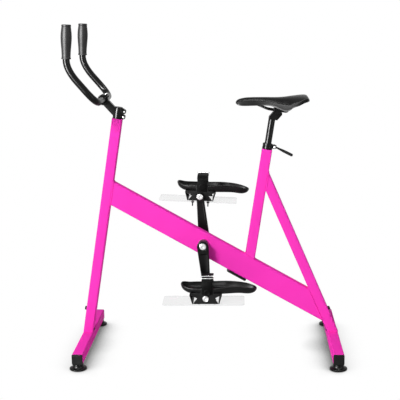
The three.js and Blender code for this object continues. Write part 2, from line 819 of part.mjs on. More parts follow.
function pedalBody(name) {
  const shape = polygon([
    [-pedalTopLength / 2, pedalTop], [-pedalBottomLength / 2, -pedalBottom],
    [pedalBottomLength / 2, -pedalBottom], [pedalTopLength / 2, pedalTop],
  ]);
  const half = pedalBodyLength / 2;
  const end = half + cutOver;
  const windows = [...pedalWindow(-1), ...pedalWindow(1)].map((hole) => extrudedY(hole, -end, end));
  const spindleHole = around(pedalSpindleRadius + runningGap, roundSides);
  const capHole = around(pedalCapPlugRadius + seatGap, roundSides);
  return named(name, cut(
    extrudedY(shape, -half, half),
    ...windows,
    ...pedalFloorHoles(),
    cylinderY(spindleHole, -end, end),
    cylinderY(capHole, half - pedalCapPlugDepth, end),
    ...paddleScrewHoles(-pedalBottom - cutOver, -pedalBottom + paddleScrewDepth + seatGap),
  ), blackPlastic);
}

function pedalCap(name) {
  const face = pedalBodyLength / 2 + seatGap;
  const plugEnd = face + seatGap - (pedalBodyLength - pedalSpindleLength);
  const outer = face + pedalCapThickness;
  return named(name, turnedY([
    [0, plugEnd], [pedalCapPlugRadius, plugEnd], [pedalCapPlugRadius, face], [pedalCapRadius, face],
    [pedalCapRadius, face + pedalCapThickness / 2], [pedalCapRadius - pedalCapThickness / 2, outer],
    [0, outer],
  ]), steel);
}

// Foot cradle: rings of a rounded oblong, flat inside and rising to a rim of changing height.
// Behind the pedal the floor dips towards the heel.
function cradlePoint(angle, share, inset, lift) {
  const c = Math.cos(angle);
  const s = Math.sin(angle);
  const power = 2 / cradleSquareness;
  const halfLength = (cradleFront + cradleBack) / 2 - inset;
  const halfWidth = cradleWidth / 2 - inset;
  const rise = c > 0 ? cradleHeelRise : cradleToeRise;
  const rim = cradleWaistRise + (rise - cradleWaistRise) * c * c - lift;
  const wall = Math.max(0, (share - cradleFlatShare) / (1 - cradleFlatShare));
  const dip = cradleHeelDrop * THREE.MathUtils.smoothstep(share * c, cradleHeelStartShare, 1);
  return [
    (cradleBack - cradleFront) / 2 + halfLength * share * Math.sign(c) * Math.abs(c) ** power,
    halfWidth * share * Math.sign(s) * Math.abs(s) ** power,
    cradleFloor + lift - dip + rim * wall ** cradleWallCurve,
  ];
}

function footCradle(name) {
  const angles = Array.from({ length: cradleAngleSteps }, (_, i) => (2 * Math.PI * i) / cradleAngleSteps);
  const ring = (share, inset, lift) => angles.map((angle) => cradlePoint(angle, share, inset, lift));
  const under = cradleRingShares.map((share) => ring(share, 0, 0));
  const over = cradleRingShares.map((share) => ring(share, cradleWall, cradleWall));
  const middle = (cradleBack - cradleFront) / 2;
  const skin = new Skin();
  skin.fan([...under[0]].reverse(), [middle, 0, cradleFloor]);
  under.slice(1).forEach((row, i) => skin.band([...row].reverse(), [...under[i]].reverse()));
  skin.band(under.at(-1), over.at(-1));
  over.slice(1).forEach((row, i) => skin.band(row, over[i]));
  skin.fan(over[0], [middle, 0, cradleFloor + cradleWall]);
  return named(name, skin.geometry(), blackPlastic);
}

// Foot strap: a band that rises beside the cradle and arches over the foot
function footStrap(name) {
  const inside = cradleWidth / 2 + seatGap;
  const low = cradleFloor + strapStartHeight;
  const spring = cradleFloor + cradleWaistRise + strapStraightRise;
  const rise = cradleFloor + strapHeight - spring;
  const shape = new THREE.Shape();
  shape.moveTo(-inside, low);
  shape.lineTo(-inside, spring);
  shape.absellipse(0, spring, inside, rise, Math.PI, 0, true);
  shape.lineTo(inside, low);
  shape.lineTo(inside + strapThickness, low);
  shape.lineTo(inside + strapThickness, spring);
  shape.absellipse(0, spring, inside + strapThickness, rise + strapThickness, 0, Math.PI, false);
  shape.lineTo(-inside - strapThickness, low);
  const band = extruded(shape, strapWidth, strapArcSteps)
    .rotateX(Math.PI / 2).rotateZ(Math.PI / 2).translate(-strapWidth / 2, 0, 0);
  const mesh = named(name, band, webbing);
  mesh.position.x = strapPlace;
  return mesh;
}

// Clear paddle that drags through the water under the pedal
function paddle(name) {
  const plate = roundedBar(paddleFront + paddleBack, paddleWidth, paddleCorner,
    paddleTop - paddleThickness, paddleTop).translate((paddleBack - paddleFront) / 2, 0, 0);
  return named(name, cut(
    plate, ...paddleScrewHoles(paddleTop - paddleThickness - cutOver, paddleTop + cutOver),
  ), clearPlastic);
}

function paddleScrew(name, end) {
  const under = paddleTop - paddleThickness - seatGap;
  const mesh = named(name, turnedZ([
    [0, under - paddleScrewTip],
    [paddleScrewRadius / 2, under - paddleScrewTip],
    [paddleScrewRadius, under - paddleScrewTip + paddleScrewRadius],
    [paddleScrewRadius, under - paddleNutHeight],
    [paddleNutRadius, under - paddleNutHeight],
    [paddleNutRadius, under],
    [paddleScrewRadius, under],
    [paddleScrewRadius, -pedalBottom + paddleScrewDepth],
    [0, -pedalBottom + paddleScrewDepth],
  ], smallSides), steel);
  mesh.position.set(end * paddleScrewPlace, paddleScrewInset - pedalBodyLength / 2, 0);
  return mesh;
}

function pedal(hand, side, lean) {
  const tilt = radians(crankTilt);
  const group = groupAt(
    crankPlace - side * crankLength * Math.sin(tilt),
    side * pedalMiddle,
    crankHeight + side * crankLength * Math.cos(tilt),
    lean,
  );
  group.scale.y = side;
  group.add(
    pedalBody(hand + '_pedal_body'),
    pedalCap(hand + '_pedal_cap'),
    footCradle(hand + '_foot_cradle'),
    footStrap(hand + '_foot_strap'),
    paddle(hand + '_paddle'),
    paddleScrew(hand + '_front_paddle_screw', -1),
    paddleScrew(hand + '_rear_paddle_screw', 1),
  );
  return group;
}

// Seat sleeve: fills the top of the seat tube and stands above it, slit at the back
function seatSleeve() {
  const top = seatTubeLength + sleeveRise;
  const ring = turnedZ([
    [sleeveBore, seatTubeLength - sleeveDepth], [sleeveRadius, seatTubeLength - sleeveDepth],
    [sleeveRadius, top], [sleeveBore, top], [sleeveBore, seatTubeLength - sleeveDepth],
  ], fineSides);
  const slit = block(0, 2 * sleeveRadius, -sleeveSlot / 2, sleeveSlot / 2,
    top - sleeveSlotDepth, top + cutOver);
  return named('seat_sleeve', cut(ring, slit), blackPlastic);
}

const collarBottom = seatTubeLength + sleeveRise - collarHeight - collarDrop;
const collarMiddle = collarBottom + collarHeight / 2;
const collarEarEnd = collarRadius + collarEarReach;
const collarBoltPlace = collarRadius + collarEarReach / 2;
const collarEarFace = sleeveSlot / 2 + collarEarThickness;
const leverPivot = collarEarFace + seatGap + leverHubRadius;

function seatCollar() {
  const ring = cylinderZ(collarRadius, collarBottom, collarBottom + collarHeight, fineSides);
  const ears = block(collarBore, collarEarEnd, -collarEarFace, collarEarFace,
    collarMiddle - collarEarHeight / 2, collarMiddle + collarEarHeight / 2);
  const low = collarBottom - cutOver;
  const high = collarBottom + collarHeight + cutOver;
  const bore = cylinderZ(around(collarBore, fineSides), low, high, fineSides);
  const slit = block(0, 2 * collarEarEnd, -sleeveSlot / 2, sleeveSlot / 2, low, high);
  const boltHole = cylinderY(
    around(collarBoltRadius + seatGap, smallSides), -2 * collarEarFace, 2 * collarEarFace, smallSides,
  ).translate(collarBoltPlace, 0, collarMiddle);
  return named('seat_collar', cut(join(ring, ears), bore, slit, boltHole), blackPaint);
}

function collarBolt() {
  const nut = -collarEarFace - seatGap;
  const mesh = named('collar_bolt', turnedY([
    [0, nut - collarNutHeight], [collarNutRadius / 2, nut - collarNutHeight],
    [collarNutRadius, nut - collarNutHeight / 2], [collarNutRadius, nut], [collarBoltRadius, nut],
    [collarBoltRadius, leverPivot - leverCoreRadius - seatGap], [0, leverPivot - leverCoreRadius - seatGap],
  ], smallSides), steel);
  mesh.position.set(collarBoltPlace, 0, collarMiddle);
  return mesh;
}

// Collar lever: a grooved hub whose own Z is the pivot, and a flat handle along X
function collarLever() {
  const half = leverHubWidth / 2;
  const groove = leverGroove / 2;
  const hub = turnedZ([
    [0, -half], [leverHubRadius, -half], [leverHubRadius, -groove], [leverCoreRadius, -groove],
    [leverCoreRadius, groove], [leverHubRadius, groove], [leverHubRadius, half], [0, half],
  ]);
  const handle = roundedBar(leverWidth, leverThickness, leverThickness / 3, leverCoreRadius, leverLength)
    .rotateY(Math.PI / 2);
  const mesh = named('collar_lever', join(hub, handle), blackPlastic);
  mesh.position.set(collarBoltPlace, leverPivot, collarMiddle);
  mesh.rotation.y = radians(leverDrop - seatTubeLean);
  return mesh;
}

// Seat post with a head that the rail clamp rocks in
function seatPost() {
  const rockerBottom = railHeight - clampRadius - seatGap;
  const headTop = railHeight - clampRadius + headWall;
  const headBottom = rockerBottom - headDepth;
  const tubeTop = headBottom + headWall;
  const rear = railSetback + headRear;
  const front = railSetback - headFront;
  const head = extrudedY(polygon([
    [-seatPostRadius, headBottom], [seatPostRadius + headWall, headBottom], [rear, headTop - headWall],
    [rear, headTop], [front, headTop], [-seatPostRadius, tubeTop],
  ]), -headWidth / 2, headWidth / 2);
  const tube = cylinderZ(seatPostRadius, tubeTop - seatPostLength, tubeTop, fineSides);
  const rocker = cylinderY(around(clampRadius + seatGap, fineSides), -headWidth, headWidth, fineSides)
    .translate(railSetback, 0, railHeight);
  const boltSlot = roundedBar(clampSlotLength, 2 * (clampBoltRadius + seatGap) + seatGap,
    clampBoltRadius, headBottom - cutOver, railHeight).translate(railSetback, 0, 0);
  const nutPocket = block(railSetback - clampPocketLength / 2, rear + headWall,
    -headWidth / 2 + headWall, headWidth / 2 - headWall, headBottom - cutOver, rockerBottom - headWall);
  return named('seat_post', cut(join(tube, head), rocker, boltSlot, nutPocket), blackPaint);
}

const railGrooves = () => [-1, 1].map((side) => cylinderX(
  around(railRadius + seatGap, smallSides), -2 * clampRadius, 2 * clampRadius, smallSides,
).translate(0, side * railSpread, 0));

const clampBoltHole = () => cylinderZ(
  around(clampBoltRadius + seatGap, smallSides), -2 * clampRadius, 2 * clampRadius, smallSides,
);

// Rail clamp: a half-round rocker below the rails and a plate above them, about the tilt axis
function railClampLower() {
  const half = clampWidth / 2;
  const round = cylinderY(clampRadius, -half, half, fineSides);
  return named('lower_rail_clamp', cut(
    round, above(-seatGap / 2), ...railGrooves(), clampBoltHole(),
  ), blackPaint);
}

function railClampUpper() {
  const plate = roundedBar(clampUpperLength, clampWidth, railRadius, seatGap / 2, clampUpperHeight);
  return named('upper_rail_clamp', cut(plate, ...railGrooves(), clampBoltHole()), blackPaint);
}

function clampBolt() {
  const head = clampUpperHeight + seatGap;
  const tail = -clampRadius - headWall - clampBoltTail;
  return named('clamp_bolt', turnedZ([
    [0, tail], [clampBoltRadius, tail], [clampBoltRadius, -clampNutTop - clampNutHeight],
    [clampNutRadius, -clampNutTop - clampNutHeight], [clampNutRadius, -clampNutTop],
    [clampBoltRadius, -clampNutTop], [clampBoltRadius, head], [clampBoltHeadRadius, head],
    [clampBoltHeadRadius, head + clampBoltHeadHeight], [0, head + clampBoltHeadHeight],
  ], smallSides), steel);
}

// Saddle: stations from nose to tail, each a closed section across
function saddleStation(place) {
  return {
    x: saddleLength * place - saddleNoseReach,
    half: (saddleWidth / 2) * shareAt(saddleWidthShares, place),
    top: -saddleDepth * shareAt(saddleTopShares, place),
    edge: saddleDepth * (shareAt(saddleEdgeShares, place) - 1),
    pan: saddleDepth * (shareAt(saddlePanShares, place) - 1) + saddlePanRise,
  };
}

// Saddle rails: one bent wire under the shell, looped at the nose, in the clamp's frame
function railUnderShell(fromNose, sideways) {
  const { x, pan } = saddleStation(fromNose / saddleLength);
  return new THREE.Vector3(
    x, sideways, pan - railRadius - railGap,
  ).applyMatrix4(saddleFrame).applyMatrix4(new THREE.Matrix4().copy(clampFrame).invert()).toArray();
}

function railCorners(hand) {
  return [
    railUnderShell(railRearEnd, hand * railRearSpread),
    railUnderShell(railRearStart, hand * railRearSpread),
    [railStraightBack, hand * railSpread, 0],
    [-railStraightFront, hand * railSpread, 0],
    railUnderShell(railNoseStart, hand * railNoseSpread),
    railUnderShell(railNoseEnd, hand * railNoseSpread),
  ];
}

function saddleRails() {
  const bends = [0, railBend, railBend, railBend, railBend, railNoseSpread];
  const both = [...bends, ...[...bends].reverse()];
  return named('saddle_rails', bentRod(
    [...railCorners(1), ...railCorners(-1).reverse()], both, both, railRadius, railSteps, railArcSteps,
  ), steel);
}

// Height of the pan above the lower edge, across the saddle: flat in the middle, down at the sides.
const panRise = (share, { edge, pan }) => (pan - edge)
  * (1 - THREE.MathUtils.smoothstep(Math.abs(share), saddlePanFlatShare, saddlePanSideShare));

function cushionSection(station) {
  const { x, half, top, edge } = station;
  const rim = edge + saddlePanThickness + cushionGap;
  const under = saddleAcrossShares.map((share) => [
    x, half * share, rim + Math.min(panRise(share, station), (top - rim) / 2),
  ]);
  const over = Array.from({ length: saddleTopSteps - 1 }, (_, i) => {
    const angle = (Math.PI * (i + 1)) / saddleTopSteps;
    return [
      x,
      half * Math.sign(Math.cos(angle)) * Math.abs(Math.cos(angle)) ** saddleSideCurve,
      rim + (top - rim) * Math.sin(angle) ** saddleCrownCurve,
    ];
  });
  return [...under, ...over];
}

function panSection(station) {
  const { x, half, top, edge } = station;
  const inner = Math.max(half - saddlePanInset, half / 2);
  const limit = (top - edge - saddlePanThickness) / 2 - cushionGap;
  const row = (lift, order) => order.map((share) => [
    x, inner * share, edge + lift + Math.min(panRise(share, station), limit),
  ]);
  return [...row(0, saddleAcrossShares), ...row(saddlePanThickness, [...saddleAcrossShares].reverse())];
}

// Stations lie closer together towards the nose and the tail.
function lofted(section) {
  const stations = Array.from({ length: saddleStations + 1 }, (_, i) => {
    const even = i / saddleStations;
    const bunched = (1 - Math.cos(Math.PI * even)) / 2;
    return saddleStation(THREE.MathUtils.lerp(even, bunched, saddlePlacesShare));
  });
  const rows = stations.map(section);
  const centre = (row) => [0, 1, 2].map((k) => row.reduce((sum, p) => sum + p[k], 0) / row.length);
  const skin = new Skin();
  skin.fan([...rows[0]].reverse(), centre(rows[0]));
  rows.slice(1).forEach((row, i) => skin.band(rows[i], row));
  skin.fan(rows.at(-1), centre(rows.at(-1)));
  return skin.geometry();
}

function seat() {
  const group = groupAt(seatTubeFoot, 0, seatTubeFootHeight, seatTubeLean);
  group.add(seatSleeve(), seatCollar(), collarBolt(), collarLever(), seatPost());
  const clamp = groupAt(railSetback, 0, railHeight);
  clamp.add(railClampLower(), railClampUpper(), clampBolt(), saddleRails());
  group.add(clamp);
  return group;
}

function saddle() {
  const group = new THREE.Group();
  group.applyMatrix4(saddleFrame);
  group.add(
    named('saddle_shell', lofted(panSection), blackPlastic),
    named('saddle_cushion', lofted(cushionSection), saddleCover),
  );
  return group;
}

// Steerer: a square plug in the front post with a round stub above it
const stemBottom = frontPostLength + seatGap;
const stemBore = steererRadius + seatGap;
const stemRadius = stemBore + stemWall;

function steerer() {
  const plug = roundedBar(spigotSize, spigotSize, uprightCorner - uprightWall,
    frontPostLength - steererPlugDepth, frontPostLength);
  const stub = cylinderZ(steererRadius, frontPostLength - steererPlugDepth / 2, frontPostLength + steererRise,
    fineSides);
  return named('steerer', join(plug, stub), blackPaint);
}

// Stem: a split barrel on the steerer and an arm up to the handlebar clamp
const armLean = Math.atan2(barClampRise - stemArmRoot, barClampReach);
const barClampRadius = handlebarRadius + seatGap + barClampWall;

function barClampBody() {
  const half = barClampWidth / 2;
  const lug = barClampRadius + barClampLug;
  return join(
    cylinderY(barClampRadius, -half, half, fineSides),
    block(-barClampLugThickness, barClampLugThickness, -half, half, -lug, lug),
  );
}

const barBore = () => cylinderY(
  around(handlebarRadius + seatGap, fineSides), -barClampWidth, barClampWidth, fineSides,
);

function stem() {
  const barrel = cylinderZ(stemRadius, 0, stemHeight, fineSides);
  const ears = block(0, stemBore + stemEarReach, -stemEarWidth / 2, stemEarWidth / 2, 0, stemHeight);
  const length = Math.hypot(barClampReach, barClampRise - stemArmRoot);
  const toArm = new THREE.Matrix4().makeTranslation(0, 0, stemArmRoot)
    .multiply(new THREE.Matrix4().makeRotationY(armLean - Math.PI / 2));
  const arm = roundedBar(stemArmHeight, stemArmWidth, uprightCorner, 0, length).applyMatrix4(toArm);
  const rear = cut(barClampBody(), between(-cutReach, barClampSplit / 2))
    .rotateY(armLean).translate(-barClampReach, 0, barClampRise);
  const panels = [-1, 1].map((hand) => roundedBar(stemArmHeight - 2 * stemPanelInset,
    stemPanelDepth * 2, stemPanelDepth / 2, stemRadius, length - barClampRadius - stemPanelInset / 2)
    .translate(0, hand * stemArmWidth / 2, 0).applyMatrix4(toArm));
  const clampEnd = 2 * barClampRadius;
  const frontSplit = block(-cutReach, barClampSplit / 2, -cutReach, cutReach, -clampEnd, clampEnd)
    .rotateY(armLean).translate(-barClampReach, 0, barClampRise);
  const boltHole = around(pinchBoltRadius + seatGap, smallSides);
  const bolts = [pinchBoltLow, pinchBoltHigh].map((z) => cylinderY(
    boltHole, -stemEarWidth, stemEarWidth, smallSides,
  ).translate(pinchBoltPlace, 0, z));
  const body = cut(
    join(barrel, ears, arm, rear),
    below(0),
    frontSplit,
    cylinderZ(around(stemBore, fineSides), -cutOver, stemHeight + cutOver, fineSides),
    block(0, cutReach, -stemSlot / 2, stemSlot / 2, -cutOver, stemHeight + cutOver),
    barBore().translate(-barClampReach, 0, barClampRise),
    ...panels,
    ...bolts,
  );
  return named('stem', body, blackPaint);
}

function faceplate() {
  const front = cut(
    barClampBody(),
    between(-barClampSplit / 2, cutReach),
    barBore(),
  );
  const mesh = named('stem_faceplate', front, blackPaint);
  mesh.position.set(-barClampReach, 0, barClampRise);
  mesh.rotation.y = armLean;
  return mesh;
}

function pinchBolt(name, z) {
  const face = -stemEarWidth / 2 - seatGap;
  const mesh = named(name, turnedY([
    [0, face - pinchBoltHeadHeight], [pinchBoltHeadRadius - seatGap, face - pinchBoltHeadHeight],
    [pinchBoltHeadRadius, face - pinchBoltHeadHeight + seatGap], [pinchBoltHeadRadius, face],
    [pinchBoltRadius, face], [pinchBoltRadius, -face], [0, -face],
  ], smallSides), steel);
  mesh.position.set(pinchBoltPlace, 0, z);
  return mesh;
}

function steering() {
  const group = groupAt(-halfSpacing, 0, barTop, frontPostLean);
  group.add(steerer());
  const clamp = groupAt(0, 0, stemBottom);
  clamp.add(stem(), faceplate(), pinchBolt('lower_pinch_bolt', pinchBoltLow),
    pinchBolt('upper_pinch_bolt', pinchBoltHigh));
  group.add(clamp);
  return group;
}

// Handlebar: straight across the clamp, then forward and up at each side, then upright
function handlebarCorners(hand) {
  return [
    [handlebarEndBack - handlebarForward, hand * handlebarHalfWidth, handlebarRise + handlebarEndRise],
    [-handlebarForward, hand * handlebarHalfWidth, handlebarRise],
    [0, hand * handlebarHalfWidth, 0],
  ];
}

function handlebar() {
  return named('handlebar', bentRod(
    [...handlebarCorners(-1), ...handlebarCorners(1).reverse()],
    [0, handlebarUpperBend, handlebarBend, handlebarBend, handlebarBend, 0],
    [0, handlebarBend, handlebarBend, handlebarBend, handlebarUpperBend, 0],
    handlebarRadius,
    handlebarSteps,
    handlebarArcSteps,
  ), blackPaint);
}

// Closed-end grip, swollen in the middle, with a flange at the hand's lower edge
function grip(name, side) {
  const bore = around(handlebarRadius + seatGap, fineSides);
  const end = seatGap + gripCrown;
  const low = end - gripLength;
  const mesh = named(name, turnedZ([
    [bore, low], [gripFlangeRadius, low], [gripFlangeRadius, low + gripFlangeHeight],
    [gripEndRadius, low + gripFlangeHeight], [gripBellyRadius, low + gripLength / 3],
    [gripBellyRadius, low + gripLength / 2], [gripEndRadius, end - 2 * gripCrown],
    [gripEndRadius, end - gripCrown], [gripEndRadius - gripCrown, end], [0, end],
    [0, seatGap], [bore, seatGap], [bore, low],
  ], fineSides), gripFoam);
  mesh.position.set(
    handlebarEndBack - handlebarForward, side * handlebarHalfWidth, handlebarRise + handlebarEndRise,
  );
  mesh.rotation.y = Math.atan2(handlebarEndBack, handlebarEndRise);
  return mesh;
}

function handlebars() {
  const middle = new THREE.Vector3(-barClampReach, 0, stemBottom + barClampRise).applyMatrix4(postFrame);
  const group = groupAt(middle.x, 0, middle.z);
  group.add(handlebar(), grip('left_grip', -1), grip('right_grip', 1));
  return group;
}

const bike = new THREE.Group();
bike.add(base(), frame(), cranks(), pedal('left', -1, leftPedalTilt), pedal('right', 1, rightPedalTilt));
bike.add(seat(), saddle(), steering(), handlebars());

export default bike;
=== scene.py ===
"""Looks of a pool exercise bike, made around its fixed frame.

Shapes are worked out in millimetres, as grids of points, and put into metres when their mesh is made.
X runs from the handlebar to the back, Y from the rider's left to the right, and Z up.
"""
import json
import math

import bpy
import numpy as np
from mathutils import Matrix, Vector


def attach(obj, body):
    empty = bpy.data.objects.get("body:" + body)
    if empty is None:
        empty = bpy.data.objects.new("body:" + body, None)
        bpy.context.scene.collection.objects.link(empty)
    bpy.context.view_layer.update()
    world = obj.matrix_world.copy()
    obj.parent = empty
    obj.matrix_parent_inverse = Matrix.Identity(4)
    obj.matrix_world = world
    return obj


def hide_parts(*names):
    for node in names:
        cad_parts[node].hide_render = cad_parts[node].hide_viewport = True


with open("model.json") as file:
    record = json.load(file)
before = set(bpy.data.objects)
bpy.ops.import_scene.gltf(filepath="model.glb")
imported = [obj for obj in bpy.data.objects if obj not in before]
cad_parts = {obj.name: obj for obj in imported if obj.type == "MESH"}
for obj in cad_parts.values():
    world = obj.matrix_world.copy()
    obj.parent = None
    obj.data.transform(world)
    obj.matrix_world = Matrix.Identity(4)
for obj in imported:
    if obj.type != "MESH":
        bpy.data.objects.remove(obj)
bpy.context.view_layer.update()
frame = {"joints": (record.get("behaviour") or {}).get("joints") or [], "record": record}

MM = 1000
joints = {joint["name"]: joint for joint in frame["joints"]}
body_of_node = {
    node: body for body, nodes in frame["record"]["behaviour"]["bodies"].items() for node in nodes
}
join = np.concatenate
HANDS = (("left", -1), ("right", 1))
ENDS = (("front", -1), ("rear", 1))

# Sizes of the frame
GAP = 0.3
HALF_SPACING = 474
BAR_LENGTH, BAR_SIZE, BAR_CORNER = 533, 40, 5
FOOT_HEIGHT, FOOT_PLACE = 21, 252.7
BAR_TOP, BAR_MIDDLE = FOOT_HEIGHT + BAR_SIZE, FOOT_HEIGHT + BAR_SIZE / 2
UPRIGHT_SIZE, UPRIGHT_CORNER = 38, 5
POST_LENGTH, POST_LEAN = 842, 9.6
SEAT_TUBE_LENGTH, SEAT_TUBE_FOOT, SEAT_LEAN = 461, 150.8, 9.2
LEG_DROP = 89.1
BEAM_DEPTH, BEAM_WIDTH, BEAM_CORNER = 84, 38, 6
BEAM_SLOPE, BEAM_HEIGHT = 29.8, 401.6
RAIL_RISE, RAIL_SETBACK, SADDLE_RISE = 149, 15.2, 50


# Places: frames turned about Y, as four by four matrices
def tilted(x, z, degrees, y=0.0):
    """A frame at (x, y, z) turned about Y by an angle, so that its own Z leans towards +X."""
    c, s = math.cos(math.radians(degrees)), math.sin(math.radians(degrees))
    return np.array([[c, 0, s, x], [0, 1, 0, y], [-s, 0, c, z], [0, 0, 0, 1.0]])


def shifted(x, y, z):
    return tilted(x, z, 0, y)


def flipped(side):
    """Leaves the right side as it is and mirrors the left one."""
    return np.diag([1.0, side, 1, 1])


def put(points, place):
    """Points turned by a frame's axes and moved to its origin."""
    return points @ place[:3, :3].T + place[:3, 3]


def joint_point(name):
    return np.array(joints[name]["pos_m"]) * MM


def angle(across, along):
    return math.degrees(math.atan2(across, along))


WORLD = np.eye(4)
POST = tilted(-HALF_SPACING, BAR_TOP, POST_LEAN)
BEAM = tilted(0, BEAM_HEIGHT, 90 + BEAM_SLOPE)
SEAT = tilted(SEAT_TUBE_FOOT, BEAM_HEIGHT - SEAT_TUBE_FOOT * math.tan(math.radians(BEAM_SLOPE)), SEAT_LEAN)
LEG_TOP = SEAT @ (0, 0, SEAT_TUBE_LENGTH - LEG_DROP, 1)
LEG = tilted(HALF_SPACING, BAR_TOP, -angle(HALF_SPACING - LEG_TOP[0], LEG_TOP[2] - BAR_TOP))
CLAMP = SEAT @ shifted(RAIL_SETBACK, 0, SEAT_TUBE_LENGTH + RAIL_RISE)
SADDLE = shifted(CLAMP[0, 3], 0, CLAMP[2, 3] + SADDLE_RISE)
STEM = POST @ shifted(0, 0, POST_LENGTH + GAP)


# Curves
def smooth(value, start, end):
    """0 before start, 1 after end, and a smooth step between them."""
    share = np.clip((value - start) / (end - start), 0, 1)
    return share * share * (3 - 2 * share)


def share_at(table, place):
    """The value of a table at each place, on a cubic whose slopes are those of the neighbours' chords."""
    x, y = np.array(table, float).T
    rise = (np.roll(y, -1) - np.roll(y, 1)) / (np.roll(x, -1) - np.roll(x, 1))
    rise[0], rise[-1] = (y[1] - y[0]) / (x[1] - x[0]), (y[-1] - y[-2]) / (x[-1] - x[-2])
    k = np.clip(np.searchsorted(x, place, side="right") - 1, 0, len(x) - 2)
    width = x[k + 1] - x[k]
    t = np.clip((place - x[k]) / width, 0, 1)
    return (y[k] * (2 * t**3 - 3 * t**2 + 1) + rise[k] * width * (t**3 - 2 * t**2 + t)
            + y[k + 1] * (3 * t**2 - 2 * t**3) + rise[k + 1] * width * (t**3 - t**2))


def coords(*parts):
    """Points whose coordinates are the parts, each spread to the shape of all."""
    return np.stack(np.broadcast_arrays(*parts), -1)


def unit(vectors):
    return vectors / np.linalg.norm(vectors, axis=-1, keepdims=True)


def chord(ring, reach=1):
    """Direction of a closed path at each point, from the line between its neighbours."""
    return unit(np.roll(ring, -reach, 0) - np.roll(ring, reach, 0))


# Outlines: rows of points in a plane, anticlockwise where they are closed
def arc(x, y, radius, start, end, steps):
    turn = np.radians(np.linspace(start, end, steps + 1))
    return coords(x + radius * np.cos(turn), y + radius * np.sin(turn))


def circle(radius, sides):
    return arc(0, 0, radius, 0, 360, sides)[:-1]


def box(x, y, far_x, far_y):
    return [(x, y), (far_x, y), (far_x, far_y), (x, far_y)]


def rounded_box(width, height, corner, steps=6):
    """A rectangle round the origin, whose corners are quarter circles."""
    x, y = width / 2 - corner, height / 2 - corner
    ways = ((x, y), (-x, y), (-x, -y), (x, -y))
    return join([arc(*way, corner, 90 * k, 90 * k + 90, steps) for k, way in enumerate(ways)])


def rounded_line(corners, leads, tails=None, steps=8):
    """A path through corners, each replaced by a parabola from its lead before it to its tail after it."""
    corners = np.array(corners, float)
    tails = leads if tails is None else tails
    turn = np.linspace(0, 1, steps + 1)[:, None]
    parts = [corners[:1]]
    leads, tails = (np.broadcast_to(reach, len(corners) - 2) for reach in (leads, tails))
    for before, corner, after, lead, tail in zip(corners, corners[1:], corners[2:], leads, tails):
        start, end = corner + unit(before - corner) * lead, corner + unit(after - corner) * tail
        parts.append(start * (1 - turn) ** 2 + 2 * corner * turn * (1 - turn) + end * turn**2)
    return join([*parts, corners[-1:]])


def rounded_polygon(corners, lead, steps=4):
    """A closed polygon with each corner replaced by a parabola."""
    ring = np.array(corners, float)
    middle = (ring[-1] + ring[0]) / 2
    return rounded_line([middle, *ring, middle], lead, steps=steps)[:-1]


# Grids: rows of points in space. Each row is closed
AXES = {"z": [0, 1, 2], "y": [0, 2, 1], "x": [2, 0, 1]}


def both(grid, axis=1):
    """A grid's mirror image across a frame's middle plane, and the grid."""
    return [grid * np.where(np.arange(3) == axis, -1, 1), grid]


def prism(outline, low, high, edge=0.8, steps=3, along="z"):
    """An outline drawn out from low to high, its rims rounded by quarter circles of radius edge. Each point
    moves in against the outline's normal, which is square to the line between its neighbours."""
    turn = np.linspace(0, np.pi / 2, steps + 1)
    insets = join([[edge + 0.3], edge * (1 - np.sin(turn))])
    lifts = join([[0], edge * (1 - np.cos(turn))])
    normal = chord(outline)[:, ::-1] * (1, -1)
    flat = outline - join([insets, insets[::-1]])[:, None, None] * normal
    height = join([low + lifts, high - lifts[::-1]])[:, None]
    return coords(flat[..., 0], flat[..., 1], height)[..., AXES[along]]


def plate(corners, lead, low, high, edge, steps=4):
    """A polygon in X and Z with rounded corners, drawn out along Y."""
    return prism(rounded_polygon(corners, lead, steps), low, high, edge, along="y")


def turned(profile, sides=48, along="z", start=0, end=360):
    """A profile of (radius, height) carried round an axis, from one angle to another."""
    radius, height = np.array(profile, float).T[..., None]
    whole = abs(end - start) == 360
    turn = np.radians(np.linspace(start, end, sides + 1))[: sides + (not whole)]
    return coords(radius * np.cos(turn), radius * np.sin(turn), height)[..., AXES[along]]


def lathe(corners, lead, sides=48, along="z", steps=3):
    """A line of (radius, height) with rounded corners, turned round an axis."""
    return turned(rounded_line(corners, lead, steps=steps), sides, along)


def split_ring(corners, half_slit, radius):
    """A closed profile of (radius, height) carried round Z from one side of a slit to the other."""
    slit = math.degrees(math.asin(half_slit / radius))
    return np.swapaxes(turned(rounded_polygon(corners, 0.6, 3), 60, start=slit, end=360 - slit), 0, 1)


def screw_head(seat, radius, height, sides, along="z"):
    """A domed head with a socket."""
    outline = [(0, -1), (radius, 0), (radius, height * 0.4), (radius * 0.7, height), (radius * 0.48, height),
               (radius * 0.45, height * 0.25), (0, height * 0.25)]
    return lathe(np.add(outline, (0, seat)), 0.25, sides, along)


def swept(path, section, reference):
    """A section carried along a path. Its two axes are square to the path and to each other."""
    tangent = unit(np.gradient(path, axis=0))
    side = unit(np.cross(tangent, reference))
    across, up = section[..., :1], section[..., 1:]
    return path[:, None] + across * side[:, None] + up * np.cross(side, tangent)[:, None]


def circled(path, first, second, radius, sides):
    """Circles round the points of a path, each in the plane of two directions."""
    turn = np.linspace(0, 2 * np.pi, sides, endpoint=False)[:, None]
    first, second = (np.broadcast_to(way, path.shape)[:, None] for way in (first, second))
    return path[:, None] + np.reshape(radius, (-1, 1, 1)) * (np.cos(turn) * first + np.sin(turn) * second)


def mitred(outline, place, start, end):
    """A tube whose edge lines run from one cutting plane to another. A plane is a point and a normal."""
    ring, line = put(coords(*outline.T, 0), place), place[:3, 2]
    return np.stack([ring + line * (((point - ring) @ normal) / (line @ normal))[:, None]
                     for point, normal in (start, end)])


